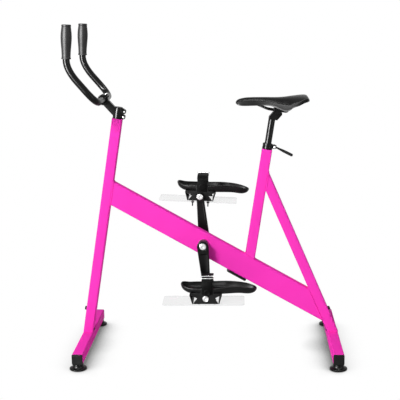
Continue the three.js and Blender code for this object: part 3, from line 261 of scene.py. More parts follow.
def face_of(place, axis, distance):
    """The plane square to one axis of a frame, at a distance along it."""
    normal = place[:3, axis]
    return place[:3, 3] + normal * distance, normal


# Meshes
def length_steps(grid, axis):
    """Distance covered along a grid's rows or columns, in metres, as its texture coordinate."""
    step = np.linalg.norm(np.diff(grid, axis=axis), axis=-1).max(1 - axis)
    return join([[0], np.cumsum(step)]) / MM


def surface(grid, loop):
    """A grid's points, and its faces with their texture coordinates. Each point is joined to its neighbours,
    the first and last rows meet or close in a pole, and the faces point out."""
    rows, columns = grid.shape[:2]
    across = length_steps(join([grid, grid[:, :1]], 1), 1)
    along = length_steps(join([grid, grid[:1]]) if loop else grid, 0)
    i, j = np.meshgrid(np.arange(rows - (not loop)), np.arange(columns), indexing="ij")
    corners = [(i, j), (i, j + 1), (i + 1, j + 1), (i + 1, j)]
    quads = np.stack([(a % rows) * columns + b % columns for a, b in corners], -1).reshape(-1, 4)
    spots = np.stack([coords(across[b], along[a]) for a, b in corners], -2).reshape(-1, 4, 2)
    points, parts = grid.reshape(-1, 3), [(quads, spots)]
    if not loop:
        poles = np.stack([grid[0].mean(0), grid[-1].mean(0)])
        for pole, row, order in ((0, 0, -1), (1, rows - 1, 1)):
            first = row * columns + np.arange(columns)
            ring = coords(first, np.roll(first, -1))[:, ::order]
            fan = join([ring, np.full((columns, 1), len(points) + pole)], 1)
            rim = np.stack([coords(ends, along[row]) for ends in (across[:-1], across[1:])], 1)[:, ::order]
            reach = np.linalg.norm(grid[row] - poles[pole], axis=-1).mean() / MM * order
            tip = coords(across[:-1], along[row] + reach)[:, None]
            parts.append((fan, join([rim, tip], 1)))
        points = join([points, poles])
    volume = 0
    for faces, _ in parts:
        corner = points[faces] - points.mean(0)
        for k in range(1, faces.shape[1] - 1):
            volume += np.sum(corner[:, 0] * np.cross(corner[:, k], corner[:, k + 1]))
    facing = 1 if volume > 0 else -1
    return points, [(faces[:, ::facing], part[:, ::facing]) for faces, part in parts]


def mesh_of(name, surfaces, sharp):
    """Surfaces as one mesh in metres, smooth but for edges sharper than an angle."""
    starts = np.cumsum([0, *(len(points) for points, _ in surfaces)])
    faces = [part + start for (_, parts), start in zip(surfaces, starts) for part, _ in parts]
    spots = join([part.reshape(-1, 2) for _, parts in surfaces for _, part in parts])
    points = join([points for points, _ in surfaces]) / MM
    loops = join([part.ravel() for part in faces])
    sizes = join([np.full(len(part), part.shape[1]) for part in faces])
    mesh = bpy.data.meshes.new(name)
    mesh.vertices.add(len(points))
    mesh.vertices.foreach_set("co", points.astype(np.float32).ravel())
    mesh.loops.add(len(loops))
    mesh.loops.foreach_set("vertex_index", loops.astype(np.int32))
    mesh.polygons.add(len(sizes))
    mesh.polygons.foreach_set("loop_start", (np.cumsum(sizes) - sizes).astype(np.int32))
    mesh.update(calc_edges=True)
    mesh.uv_layers.new(name="surface").data.foreach_set("uv", spots.astype(np.float32).ravel())
    mesh.validate()
    mesh.shade_smooth()
    mesh.set_sharp_from_angle(angle=math.radians(sharp))
    return mesh


def added(name, data):
    """A new object in the scene, which holds the data."""
    made = bpy.data.objects.new(name, data)
    bpy.context.scene.collection.objects.link(made)
    return made


def piece(name, finish, node, *grids, place=WORLD, body="frame", loop=False, sharp=35):
    """A finished piece: it rides on a body and stands for the node, where one is named."""
    loops = np.broadcast_to(loop, len(grids))
    surfaces = [surface(put(grid, place), closed) for grid, closed in zip(grids, loops)]
    made = added(name, mesh_of(name, surfaces, sharp))
    made.data.materials.append(finish.material)
    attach(made, body_of_node.get(node, body))
    if node:
        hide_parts(node)
    return made


# Materials
class Value:
    """A number that a material works out. Arithmetic on it adds Math nodes."""

    def __init__(self, nodes, socket):
        self.nodes, self.socket = nodes, socket

    def math(self, operation, *values):
        return self.nodes.node("ShaderNodeMath", {"operation": operation}, dict(enumerate(values)))

    def __add__(self, other):
        return self.math("ADD", self, other)

    def __sub__(self, other):
        return self.math("SUBTRACT", self, other)

    def __mul__(self, other):
        return self.math("MULTIPLY", self, other)

    def __rsub__(self, other):
        return self.math("SUBTRACT", other, self)

    __radd__ = __add__
    __rmul__ = __mul__

    def wave(self, pitch):
        """A sine between 0 and 1."""
        return self.math("SINE", self * pitch) * 0.5 + 0.5

    def size(self):
        return self.math("ABSOLUTE", self)

    def step(self, start, end, low=0.0, high=1.0, kind="SMOOTHSTEP"):
        """Low before start, high after end, and a smooth or straight step between them."""
        inputs = {"Value": self, "From Min": start, "From Max": end, "To Min": low, "To Max": high}
        return self.nodes.node("ShaderNodeMapRange", {"interpolation_type": kind}, inputs)


class Nodes:
    """The nodes of a material or of the world."""

    def __init__(self, tree):
        self.tree = tree

    def node(self, kind, settings=None, inputs=None, output=None):
        """Adds a node: its settings first, then the values or links of its sockets."""
        node = self.tree.nodes.new(kind)
        for key, value in (settings or {}).items():
            setattr(node, key, value)
        for key, value in (inputs or {}).items():
            self.link(value, node.inputs[key])
        fitting = (socket for socket in node.outputs if socket.enabled and output in (None, socket.name))
        return Value(self, next(fitting))

    def link(self, value, socket):
        if isinstance(value, Value):
            self.tree.links.new(value.socket, socket)
        else:
            socket.default_value = value

    def part(self, vector, axis):
        return self.node("ShaderNodeSeparateXYZ", inputs={"Vector": vector}, output=axis)

    def seen_plain(self, shader, kind, colour=(1, 1, 1, 1)):
        """Gives out a shader that the camera, reflections and clear plastic see as plain white, or as a shade
        of it, and light as itself."""
        seen, *others = (self.node("ShaderNodeLightPath", output=f"Is {ray} Ray")
                         for ray in ("Camera", "Glossy", "Transmission"))
        for ray in others:
            seen = seen.math("MAXIMUM", seen, ray)
        plain = self.node(kind, inputs={"Color": colour})
        mix = self.node("ShaderNodeMixShader", inputs={0: seen, 1: shader, 2: plain})
        output = next(node for node in self.tree.nodes if node.type.startswith("OUTPUT"))
        self.link(mix, output.inputs["Surface"])


class Finish(Nodes):
    """A material with one main shader, whose name is also the record's material slot if no other is given."""

    def __init__(self, name, shine=0.5, slot=None, **fixed):
        self.slot = slot or name
        self.material = bpy.data.materials.new(name)
        self.material.use_nodes = True
        super().__init__(self.material.node_tree)
        self.shader = self.tree.nodes["Principled BSDF"]
        self.set(Specular_IOR_Level=shine, **fixed)
        self.place = self.node("ShaderNodeTexCoord", output="Object")
        self.rise = self.part(self.node("ShaderNodeTexCoord", output="Normal"), "Z")
        self.surface = self.node("ShaderNodeUVMap", {"uv_map": "surface"})

    def set(self, **inputs):
        for key, value in inputs.items():
            self.link(value, self.shader.inputs[key.replace("_", " ")])

    def noise(self, scale, detail=3, vector=None, stretch=None):
        """Cloudy values about a half, at a scale in cycles to the metre, which stretch draws out."""
        vector = vector or self.place
        if stretch:
            vector = self.node("ShaderNodeMapping", inputs={"Vector": vector, "Scale": stretch})
        return self.node("ShaderNodeTexNoise", inputs={"Vector": vector, "Scale": scale, "Detail": detail})

    def cells(self, scale, feature="F1"):
        return self.node("ShaderNodeTexVoronoi", {"feature": feature}, {"Vector": self.place, "Scale": scale})

    def wear(self, share, first, second, roughness, height, strength, depth):
        """A colour between two, which are grey levels or red, green and blue, a roughness, and a relief."""
        first, second = ((*np.broadcast_to(colour, 3), 1) for colour in (first, second))
        colour = self.node("ShaderNodeMix", {"data_type": "RGBA"}, {0: share, 6: first, 7: second})
        bump = {"Height": height, "Strength": strength, "Distance": depth}
        relief = self.node("ShaderNodeBump", inputs=bump)
        self.set(Base_Color=colour, Roughness=roughness, Normal=relief)
        return self


def pink_paint():
    """Powder coat: an even hot pink with a slight orange peel and a little drift in its gloss."""
    paint = Finish("pink_paint", 0.004)
    gloss, peel = 0.42 + 0.12 * paint.noise(45), paint.noise(420, 2)
    return paint.wear(paint.noise(9), (0.93, 0.038, 0.48), (0.97, 0.05, 0.54), gloss, peel, 0.06, 0.0005)


def black_plastic():
    """Moulded plastic: a fine spark-eroded grain, with flow marks in its gloss."""
    plastic = Finish("black_plastic", 0.09)
    flow, grain = plastic.noise(28, 4), plastic.cells(1500) + plastic.noise(700)
    return plastic.wear(flow, 0.003, 0.01, 0.3 + 0.2 * flow, grain, 0.14, 0.0003)


def black_aluminium():
    """Anodised and painted metal: deep gloss, with faint drawn lines along the metal."""
    metal = Finish("black_aluminium", 0.09)
    lines = metal.noise(60, 5, metal.surface, (12, 1, 1))
    return metal.wear(lines, 0.002, 0.007, 0.25 + 0.04 * lines, metal.noise(60, 1), 0.01, 0.0002)


def stainless_steel():
    """Turned steel: rings from the tool, run along the surface's own length."""
    steel = Finish("stainless_steel", Metallic=1.0)
    rings = steel.noise(900, 2, steel.surface, (0.02, 1, 1))
    return steel.wear(steel.noise(120, 4), 0.36, 0.58, 0.2 + 0.18 * rings, rings, 0.25, 0.0002)


def painted_shade_steel():
    """Steel of the bearing cups, coloured near black as painted shade where they sit behind the crank hub."""
    steel = Finish("painted_shade_steel", slot="stainless_steel", Metallic=0.6)
    rings = steel.noise(900, 2, steel.surface, (0.02, 1, 1))
    return steel.wear(steel.noise(120, 4), 0.012, 0.03, 0.35 + 0.15 * rings, rings, 0.2, 0.0002)


def foot_rubber():
    """Matt rubber, dusted lighter in patches."""
    rubber = Finish("foot_rubber", 0.08)
    dust, grain = rubber.noise(70, 5), rubber.noise(1400, 2)
    return rubber.wear(dust.step(0.45, 0.8), 0.003, 0.012, 0.22 + 0.2 * dust, grain, 0.3, 0.0003)


def grip_foam():
    """Closed-cell foam: small soft cells and a grey bloom."""
    foam = Finish("grip_foam", 0.17)
    cells = foam.cells(1100)
    return foam.wear(foam.noise(90, 4), 0.003, 0.011, 0.42 + 0.12 * cells, cells, 0.3, 0.0004)


def saddle_cover():
    """Coated cloth like leather: fine pebbles between shallow creases, duller on the sides than on top."""
    cover = Finish("saddle_cover", 0.055)
    creases = cover.cells(620, "DISTANCE_TO_EDGE").step(0.0, 0.12)
    dull = 0.54 - 0.2 * cover.rise.step(0.05, 0.75) - 0.06 * creases + 0.08 * cover.noise(60)
    return cover.wear(cover.noise(30, 4), 0.002, 0.007, dull, creases, 0.12, 0.0003)


def saddle_cord_painted_highlight():
    """Piping of the saddle: a cord painted paler than the cover as a painted highlight along the crease, with
    a fine twist.
    """
    cord = Finish("saddle_cord_painted_highlight", 0.2, "saddle_cover")
    twist = cord.part(cord.surface, "Y").wave(3000)
    return cord.wear(twist, 0.03, 0.05, 0.4 + 0.1 * cord.noise(160), twist, 0.1, 0.0002)


def strap_webbing():
    """Ribbed belt: ribs along the strap and finer picks across it, on the strap's own coordinates."""
    webbing = Finish("strap_webbing", 0.02)
    ribs, picks = webbing.part(webbing.surface, "Y").wave(2600), webbing.part(webbing.surface, "X").wave(4200)
    weave = ribs * 0.6 + picks * 0.4
    return webbing.wear(weave, 0.001, 0.005, 0.4 + 0.2 * webbing.noise(160), weave, 0.2, 0.0003)


def clear_plastic():
    """Clear sheet: nearly all light passes, its faces veiled by faint rub marks and its cut edges milky."""
    sheet = Finish("clear_plastic", 0.1)
    rubs = sheet.noise(14, 3, stretch=(1, 4, 1))
    edge = 1 - sheet.rise.size().step(0.3, 0.9)
    sheet.set(Alpha=0.1 + 0.03 * rubs + 0.07 * edge)
    face, rim = (0.42, 0.43, 0.44), (0.5, 0.52, 0.53)
    return sheet.wear(edge, face, rim, 0.12 + 0.16 * rubs, sheet.noise(30), 0.02, 0.0003)


PINK, PLASTIC, METAL, STEEL = pink_paint(), black_plastic(), black_aluminium(), stainless_steel()
SHADED_BEARING, HIGHLIGHT_CORD = painted_shade_steel(), saddle_cord_painted_highlight()
RUBBER, FOAM, COVER = foot_rubber(), grip_foam(), saddle_cover()
WEBBING, CLEAR = strap_webbing(), clear_plastic()


# Camera, floor and light
def camera():
    """The photograph's view: place, heading, pitch and roll solved from the frame's own corners."""
    yaw, pitch, roll = 0.0516385, 0.193792, -0.0172623
    focal_pixels, picture_pixels, sensor = 944.075, 400, 36
    data = bpy.data.cameras.new("photograph")
    data.lens = focal_pixels * sensor / picture_pixels
    data.sensor_width = sensor
    data.sensor_fit = "HORIZONTAL"
    view = added("photograph", data)
    stand = Matrix.Translation((0.151396, -3.503803, 1.266751))
    for axis, turn in (("Z", yaw), ("X", math.pi / 2 - pitch), ("Z", roll)):
        stand = stand @ Matrix.Rotation(turn, 4, axis)
    view.matrix_world = stand
    bpy.context.scene.camera = view


def floor():
    """A pale floor, seen as white but for a soft grey shadow where the object stands close over it, of which
    nearly all is kept between the base bars, and less outside them."""
    side = 40
    mesh = bpy.data.meshes.new("floor")
    mesh.from_pydata([(x, y, 0) for x, y in box(-side, -side, side, side)], [], [(0, 1, 2, 3)])
    paper = Finish("pale_floor", 0.0, Base_Color=(0.8, 0.8, 0.8, 1), Roughness=0.9)
    open_sky = paper.node("ShaderNodeAmbientOcclusion", {"samples": 16}, {"Distance": 0.13}, "AO")
    kept = paper.part(paper.place, "X").size().step(0.45, 0.51, 0.88, 0.3)
    shade = 1 - kept * (1 - open_sky.step(0.48, 0.92, kind="LINEAR"))
    paper.seen_plain(Value(paper, paper.shader.outputs[0]), "ShaderNodeEmission", shade)
    mesh.materials.append(paper.material)
    added("floor", mesh)


def surroundings():
    """A white room: an even sky, a soft key lamp at the front left that shades the surfaces, and tall strips
    that only glossy surfaces show."""
    world = bpy.data.worlds.new("white_room")
    bpy.context.scene.world = world
    world.use_nodes = True
    room = Nodes(world.node_tree)
    sky = room.node("ShaderNodeBackground", inputs={"Color": (1, 1, 1, 1), "Strength": 0.3})
    room.seen_plain(sky, "ShaderNodeBackground")
    floor()

    target = Vector((0, 0, 0.6))
    for name, place, (width, height), power, glossy in (
        ("key", (-2.8, -5.0, 4.5), (1.8, 1.8), 415, False),
        ("left_strip", (-2.4, -2.8, 1.4), (0.5, 2.6), 1300, True),
        ("right_strip", (3.0, -2.2, 1.4), (0.3, 2.6), 45, True),
        ("top_strip", (0.2, -0.6, 3.6), (2.6, 0.5), 160, True),
    ):
        data = bpy.data.lights.new(name, "AREA")
        data.shape = "RECTANGLE"
        data.size, data.size_y = width, height
        data.energy = power
        lamp = added(name, data)
        lamp.location = place
        lamp.rotation_euler = (target - Vector(place)).to_track_quat("-Z", "Y").to_euler()
        lamp.visible_glossy = glossy
        lamp.visible_diffuse = not glossy


# Base bars, plugs, feet and the bolts that hold the legs
def base():
    bar, panel = rounded_box(BAR_SIZE, BAR_SIZE, BAR_CORNER), rounded_box(BAR_SIZE - 9, BAR_SIZE - 9, 3)
    plug_rim, plug_seat = 3.2, BAR_LENGTH / 2 + GAP
    tube = prism(bar, -BAR_LENGTH / 2, BAR_LENGTH / 2, 0.6, along="y")
    plug = [prism(bar, plug_seat, plug_seat + plug_rim - GAP, 1.4, 4, "y"),
            prism(panel, plug_seat, plug_seat + plug_rim, 0.7, along="y")]
    for end, side in ENDS:
        place = shifted(side * HALF_SPACING, 0, BAR_MIDDLE)
        piece(f"{end}_base_tube", PINK, f"{end}_base_bar", tube, place=place)
        for hand, way in HANDS:
            corner, foot_place = f"{end}_{hand}", shifted(side * HALF_SPACING, way * FOOT_PLACE, 0)
            piece(f"{corner}_end_plug", PLASTIC, f"{corner}_bar_cap", *plug, place=place @ flipped(way))
            piece(f"{corner}_rubber_foot", RUBBER, f"{corner}_foot", foot(), place=foot_place)


def foot():
    """A rubber foot: a flared disc with a groove in its sole, a hollow flank and a neck with a bead."""
    height = FOOT_HEIGHT - GAP
    return lathe([(0, 0), (25, 0), (26, 1), (27.5, 1), (29, 0), (31.1, 1.2), (31.7, 3), (31.7, 6),
                  (29.5, 7.4), (25.5, 8.6), (22, 10.6), (19.8, 14), (19, 16.6), (19.9, 17.4), (19.9, 18.6),
                  (19, 19.4), (19, height), (0, height)], 0.45, steps=4)


def leg_bolts():
    """Socket-head bolts through the legs' outer faces, and a set screw lower on each inner face."""
    half, face = UPRIGHT_SIZE / 2, UPRIGHT_SIZE / 2 + GAP
    bolt = lathe([(0, -17), (4, -17), (4, 0), (9, 0), (9, 1.4), (7, 1.6), (7, 7), (3.4, 7), (3.2, 4), (0, 4)],
                 0.4, 32, "x") + (face, 0, 0)
    small = screw_head(half - 0.5, 5.5, 3.4, 28, "x")
    for (end, side), place in zip(ENDS, (POST, LEG)):
        bolt_grid, small_grid = bolt * (side, 1, 1) + (0, 0, 90), small * (-side, 1, 1) + (0, 0, 10)
        piece(f"{end}_leg_screw", METAL, f"{end}_leg_bolt", bolt_grid, place=place)
        piece(f"{end}_leg_set_screw", METAL, None, small_grid, place=place)


# Welded tubes and their beads
def bead(contour, radius=2.3, ripple=0.14, spacing=3.2):
    """A weld bead along a closed contour: a round section whose radius ripples at a steady spacing."""
    ends = join([contour, contour[:1]])
    length = join([[0], np.cumsum(np.linalg.norm(np.diff(ends, axis=0), axis=1))])
    along = np.linspace(0, length[-1], int(length[-1] / 0.9), endpoint=False)
    path = np.stack([np.interp(along, length, ends[:, k]) for k in range(3)], -1)
    tangent, away = chord(path, 2), path - path.mean(0)
    away = unit(away - tangent * (away * tangent).sum(1, keepdims=True))
    waves = round(length[-1] / spacing)
    size = radius * (1 + ripple * np.sin(2 * np.pi * waves * along / length[-1]))
    return circled(path, away, np.cross(tangent, away), size, 10)


def frame_tubes():
    """Four tubes, each cut by the planes of those it meets, with a bead round each welded end."""
    upright = rounded_box(UPRIGHT_SIZE, UPRIGHT_SIZE, UPRIGHT_CORNER)
    beam = rounded_box(BEAM_DEPTH, BEAM_WIDTH, BEAM_CORNER)
    half = UPRIGHT_SIZE / 2 + GAP
    bar_face, beam_face = face_of(WORLD, 2, BAR_TOP + GAP), face_of(BEAM, 0, -BEAM_DEPTH / 2 - GAP)
    tubes = {
        "front_post": mitred(upright, POST, bar_face, face_of(POST, 2, POST_LENGTH)),
        "main_beam": mitred(beam, BEAM, face_of(POST, 0, half), face_of(LEG, 0, -half)),
        "seat_tube": mitred(upright, SEAT, beam_face, face_of(SEAT, 2, SEAT_TUBE_LENGTH)),
        "rear_leg": mitred(upright, LEG, bar_face, face_of(SEAT, 0, half)),
    }
    for name, grid in tubes.items():
        piece(f"{name}_painted_tube", PINK, name, grid)
    for name, tube, end in (
        ("beam_front", "main_beam", 0), ("beam_rear", "main_beam", 1), ("seat_tube", "seat_tube", 0),
        ("rear_leg", "rear_leg", 1),
    ):
        piece(f"{name}_weld", PINK, None, bead(tubes[tube][end]), loop=True)


def beam_cover():
    """A bevelled cover under the beam, held by two screws."""
    face, depth, place_along = BEAM_DEPTH / 2 + GAP, 10, 149
    cover = prism(rounded_box(82, 33, 7), face, face + depth, 3, 5)[..., [2, 1, 0]] * (1, 1, -1)
    piece("beam_access_cover", PLASTIC, "beam_cover", cover + (0, 0, place_along), place=BEAM)
    head = screw_head(face + depth - 1, 4, 2.2, 24, "x")
    for end, side in ENDS:
        piece(f"{end}_cover_screw", STEEL, None, head + (0, 0, place_along + side * 30), place=BEAM)


# Drive: crank shell, bearings, axle, cranks and pedals
CRANK_LENGTH, CRANK_TILT = 167.5, 4.6
CRANK_HUB, CRANK_TIP, CRANK_FACE, CRANK_THICKNESS = 22, 13.5, 72, 18
SHELL = shifted(*joint_point("crank_spin"))
CRANK = SHELL @ tilted(0, 0, -CRANK_TILT)
PEDAL_LEANS = {"left": 0, "right": 3}


def drive():
    """The left crank is the right one turned by half a turn about Y and mirrored."""
    shell = lathe(box(17, -31, 20, 31), 0.8, 64, "y", 4)
    piece("crank_shell_tube", PINK, "crank_shell", shell, place=SHELL, loop=True)
    cup = lathe([(9, 18.3), (16.7, 18.3), (16.7, 31.3), (20, 31.3), (20, 35.3), (15, 35.3), (14, 34.5),
                 (12.5, 34.5), (12, 35.3), (9, 35.3)], 0.45, 64, "y")
    for hand, side in HANDS:
        seam = coords(*circle(20, 96).T, side * BEAM_WIDTH / 2)[:, AXES["y"]]
        place = SHELL @ flipped(side)
        piece(f"{hand}_shell_weld", PINK, None, bead(seam, 2.0), place=SHELL, loop=True)
        # The bearing cups' near-black colour is painted shade.
        piece(f"{hand}_bearing_cup_painted_shade", SHADED_BEARING, f"{hand}_crank_bearing", cup, place=place, loop=True)
    spindle = turned([(0, -40), (8, -40), (8.5, -39.5), (8.5, 39.5), (8, 40), (0, 40)], 48, "y")
    square = prism(rounded_box(13, 13, 1.5), 39, 63, 0.5, along="y")
    piece("crank_spindle", STEEL, "crank_axle", spindle, *both(square), place=CRANK)
    for hand, side in HANDS:
        place = CRANK @ np.diag([side, side, side, 1.0])
        piece(f"{hand}_crank_forging", METAL, f"{hand}_crank", crank_arm(), crank_ring(), place=place)
        piece(f"{hand}_crank_screw", STEEL, f"{hand}_crank_bolt", crank_screw(), place=place)
        piece(f"{hand}_pedal_spindle", STEEL, f"{hand}_pedal_axle", pedal_spindle(),
              place=place @ shifted(0, 0, CRANK_LENGTH))
        pedal(hand, side)


def crank_arm():
    """Stations from hub to tip. Each is a closed section: across the outer face, then back across the inner
    one. The faces fall away near the outline by a quarter circle, and the outer face has a parabolic scoop
    along the arm and a round recess for the screw."""
    hub, tip, length, edge = CRANK_HUB, CRANK_TIP, CRANK_LENGTH, 2.2
    lean = math.asin((hub - tip) / length)
    z = join([
        -hub * np.cos(np.linspace(0.02, 1, 14) * np.pi / 2), np.arange(1, 31, 1.0), np.arange(33, 147, 6.0),
        np.arange(147, length - 1, 1.2), length + tip * np.sin(np.linspace(0, 0.985, 14) * np.pi / 2),
    ])[:, None]
    half = hub / math.cos(lean) - z * math.tan(lean)
    for radius, middle, side in ((hub, 0, -1), (tip, length, 1)):
        beyond = side * (z - middle - radius * math.sin(lean)) > 0
        half = np.where(beyond, np.sqrt(np.maximum(radius**2 - (z - middle) ** 2, 0)), half)
    rims = np.array([0, 0.25, 0.7, 1.3, 2.0, 3.5, 4.6, 5.0, 5.4])[None]
    near_rim = half - np.minimum(rims, half)
    core = np.maximum(half - rims.max(), 0) * np.linspace(-1, 1, 11)[None]
    across = join([-near_rim, core, near_rim[:, ::-1]], 1)
    x = join([across, across[:, ::-1]], 1)
    outer = np.arange(x.shape[1])[None] < across.shape[1]
    depth = (half - np.abs(x)) * math.cos(lean)
    depth = np.where(z < 0, hub - np.hypot(x, z), np.where(z > length, tip - np.hypot(x, z - length), depth))
    fall = edge - np.sqrt(np.maximum(edge**2 - np.maximum(edge - depth, 0) ** 2, 0))
    scoop = np.clip(1 - (x / np.maximum(half - 4.2, 1)) ** 2, 0, 1)
    panel = 2.3 * scoop * smooth(z, 27, 30) * (1 - smooth(z, 143, 149))
    recess = 6 * (1 - smooth(np.hypot(x, z), 13.2, 14.2))
    hollow = 1.2 * smooth(depth, 6, 7.5) * smooth(z, 24, 28) * (1 - smooth(z, 145, 150))
    face, back = CRANK_FACE - fall - np.maximum(panel, recess), CRANK_FACE - CRANK_THICKNESS + fall + hollow
    return coords(x, np.where(outer, face, back), z)


def crank_ring():
    """A raised lip round the screw's recess."""
    return lathe([(13.2, 67), (17.2, 67), (17.2, 72.7), (14.4, 72.7), (13.2, 71.4), (13.2, 67)], 0.4, 64, "y")


def round_face(radii, sides):
    """Rings from a rim inwards: x, z, the distance from the middle, and the greatest of the distances along
    three lines 60 degrees apart, by which a hexagon's inside is known."""
    turn = np.linspace(0, 2 * np.pi, sides, endpoint=False)
    x, z = np.array(radii)[:, None] * np.cos(turn), np.array(radii)[:, None] * np.sin(turn)
    flats = np.max([np.abs(x * np.cos(t) + z * np.sin(t)) for t in np.radians([0, 60, 120])], axis=0)
    return x, z, np.hypot(x, z), flats


def crank_screw():
    """A wide flat head with a bevel and a hexagon socket, on its shank."""
    seat, rim = CRANK_FACE - 5.7, 12.8
    rings = [rim, 12.5, 12, 11.4, 10.5, 9, 7.5, 6, *np.linspace(5.2, 3.6, 12), 2.5, 1.2]
    x, z, radius, flats = round_face(rings, 96)
    y = seat + 4.5 - 0.9 * smooth(radius, 11.2, rim) - 3.2 * smooth(4.1 - flats, -0.15, 0.25)
    sides = turned([(4, 39.5), (4, seat), (rim, seat), (rim, seat + 1.5)], 96, "y")
    return join([sides, coords(x, y, z)])


def pedal_spindle():
    """A domed head inside the crank tip with a hexagon socket, a shank through it and a flange."""
    inner, flange, rim = CRANK_FACE - CRANK_THICKNESS - GAP, CRANK_FACE + GAP, 11.5
    rings = [rim, 11.2, 10.6, 9.8, 8.5, 7, 6, *np.linspace(5.1, 3.5, 10), 2.4, 1.2]
    x, z, radius, flats = round_face(rings, 64)
    y = inner - 4 + 1.2 * smooth(radius, 9.4, rim) + 2.6 * smooth(4 - flats, -0.15, 0.25)
    body = lathe([(rim, inner - 2.4), (rim, inner), (7, inner), (7, flange), (10, flange), (10, flange + 3.5),
                  (6.2, flange + 3.5), (6, 174), (0.3, 174)], 0.35, 64, "y")
    return join([coords(x, y, z)[::-1], body])


# Foot cradle, strap, pedal body and paddle
CRADLE_FRONT, CRADLE_BACK, CRADLE_WIDTH = 93, 187, 106
CRADLE_WALL, CRADLE_FLOOR = 3.6, 13.8
FLAT_SHARE, HEEL_START, HEEL_DROP = 0.74, 0.35, 8
STRAP_PLACE, STRAP_HEIGHT, STRAP_WIDTH, STRAP_SPRING = 6, 61, 44, 39.3
PADDLE_FRONT, PADDLE_BACK, PADDLE_WIDTH = 161, 142, 109
PADDLE_TOP, PADDLE_THICKNESS = -20.3, 6
PEDAL_HALF, PEDAL_TOP, PEDAL_BOTTOM = 54, 13.5, -20
# Height of the cradle's rim above the pedal spindle, by place along the foot
RIM_HEIGHTS = [
    (-93, 45), (-84, 42.5), (-65, 37.5), (-40, 36), (0, 36), (30, 36.5), (60, 39), (85, 40.5), (115, 40),
    (145, 36.5), (170, 31), (187, 26),
]


def cradle_ring(out, inset, lift, angle):
    """A foot-shaped ring: a rounded oblong that narrows towards the heel. Up to out = 1 it lies in the sole,
    which dips at the heel. From there to out = 2 it climbs the wall, a quarter of an ellipse."""
    c, s = np.cos(angle), np.sin(angle)
    power = 2 / 3.4
    half, middle = (CRADLE_FRONT + CRADLE_BACK) / 2, (CRADLE_BACK - CRADLE_FRONT) / 2
    climb = np.clip(out - 1, 0, 1) * np.pi / 2
    share = np.minimum(out, 1) * FLAT_SHARE + (1 - FLAT_SHARE) * np.sin(climb)
    reach = np.sign(c) * np.abs(c) ** power
    x = middle + (half - inset) * share * reach
    narrow = 1 - 0.3 * smooth(x, 25, 120) - 0.08 * smooth(-x, 40, 93)
    y = (CRADLE_WIDTH / 2 - inset) * share * narrow * np.sign(s) * np.abs(s) ** power
    sole = CRADLE_FLOOR + lift - HEEL_DROP * smooth(share * c, HEEL_START, 1)
    wall = share_at(RIM_HEIGHTS, middle + half * reach) - sole
    return coords(x, y, sole + wall * (1 - np.cos(climb)))


def cradle():
    """Outer rings with a soft channel along the wall, a rolled rim, and inner rings with a ribbed sole."""
    angle = np.linspace(0, 2 * np.pi, 144, endpoint=False)[None] + 1e-4
    out = join([np.linspace(0.1, 1, 14), np.linspace(1.05, 1.97, 26)])[:, None]
    outer = cradle_ring(out, 0.7 * np.exp(-(((out - 1.42) / 0.09) ** 2)), 0, angle)
    inner = cradle_ring(out, CRADLE_WALL, CRADLE_WALL, angle)[::-1]
    ribs = 0.5 + 0.5 * np.sin(inner[..., 0] * 2 * np.pi / 9)
    inner[..., 2] += 0.9 * ribs**3 * (1 - smooth(out[::-1], 0.8, 0.95)) * smooth(out[::-1], 0.12, 0.4)
    turn, roll = np.radians(np.linspace(-60, 240, 14))[:, None], 2.5
    rim = cradle_ring(np.full((1, 1), 1.97), roll - 0.6 - roll * np.cos(turn), 0, angle)
    rim[..., 2] += roll * np.sin(turn)
    return join([outer, rim, inner])


def strap_path(grow, start, end, steps):
    """Over the foot along a squared-up half ellipse, from one angle to another."""
    turn = np.radians(np.linspace(start, end, steps))
    half = CRADLE_WIDTH / 2 + GAP + 1.2 + grow
    rise = CRADLE_FLOOR + STRAP_HEIGHT - STRAP_SPRING + 1.2 + grow
    across, up = (np.sign(part) * np.abs(part) ** 0.72 for part in (np.cos(turn), np.sin(turn)))
    return coords(STRAP_PLACE, half * across, STRAP_SPRING + rise * up)


def strap_band(path, width, thickness):
    """A flat section with rounded edges, whose width may vary along the path."""
    corner = thickness * 0.45
    x, y = rounded_box(thickness, 2 * corner + 0.02, corner, 3).T
    return swept(path, coords(x, y + np.sign(y) * (np.reshape(width, (-1, 1)) / 2 - corner)), (1, 0, 0))


def strap():
    """The belt up beside the cradle and over the foot, wider above than at the sides, the flap that folds
    back over it on the outer side, and the disc that holds each end."""
    bend = strap_path(0, 0, 180, 48)
    low = np.linspace(CRADLE_FLOOR + 2, STRAP_SPRING, 6, endpoint=False)
    side = coords(STRAP_PLACE, bend[0, 1], low)
    path = join([side, bend, side[::-1] * (1, -1, 1)])
    belt = strap_band(path, STRAP_WIDTH - 5 + 3 * smooth(path[:, 2], 58, 67), 2.4)
    flap_path = join([strap_path(2.4, -12, 0, 5)[:-1], strap_path(2.4, 0, 62, 20)])
    flap = strap_band(flap_path, STRAP_WIDTH - 8, 2.2)
    face = CRADLE_WIDTH / 2 + 2.9
    disc = lathe([(0, -2), (12, -2), (12, 3.4), (10.5, 4.4), (8, 4.4), (7, 3.4), (0, 3.4)], 0.7, 48, "y", 4)
    inner_disc = lathe([(0, 2), (13, 2), (13, 0), (11, -0.9), (0, -0.9)], 0.5, 48, "y", 4)
    return belt, flap, disc + (STRAP_PLACE, face, 24), inner_disc + (STRAP_PLACE, -face, 34)


def strap_ring():
    """A bent wire ring round the belt, in the plane that touches it on its outer shoulder."""
    before, middle, after = strap_path(2.4, 50, 66, 3)
    along = unit(after - before)
    out = np.array([0, along[2], -along[1]])
    outline = rounded_box(STRAP_WIDTH + 2, 14, 3, 6)
    path = outline[:, :1] * (1, 0, 0) + outline[:, 1:] * along + middle + out * 2.6
    return circled(path, np.cross(chord(path), out), out, 1.1, 12)


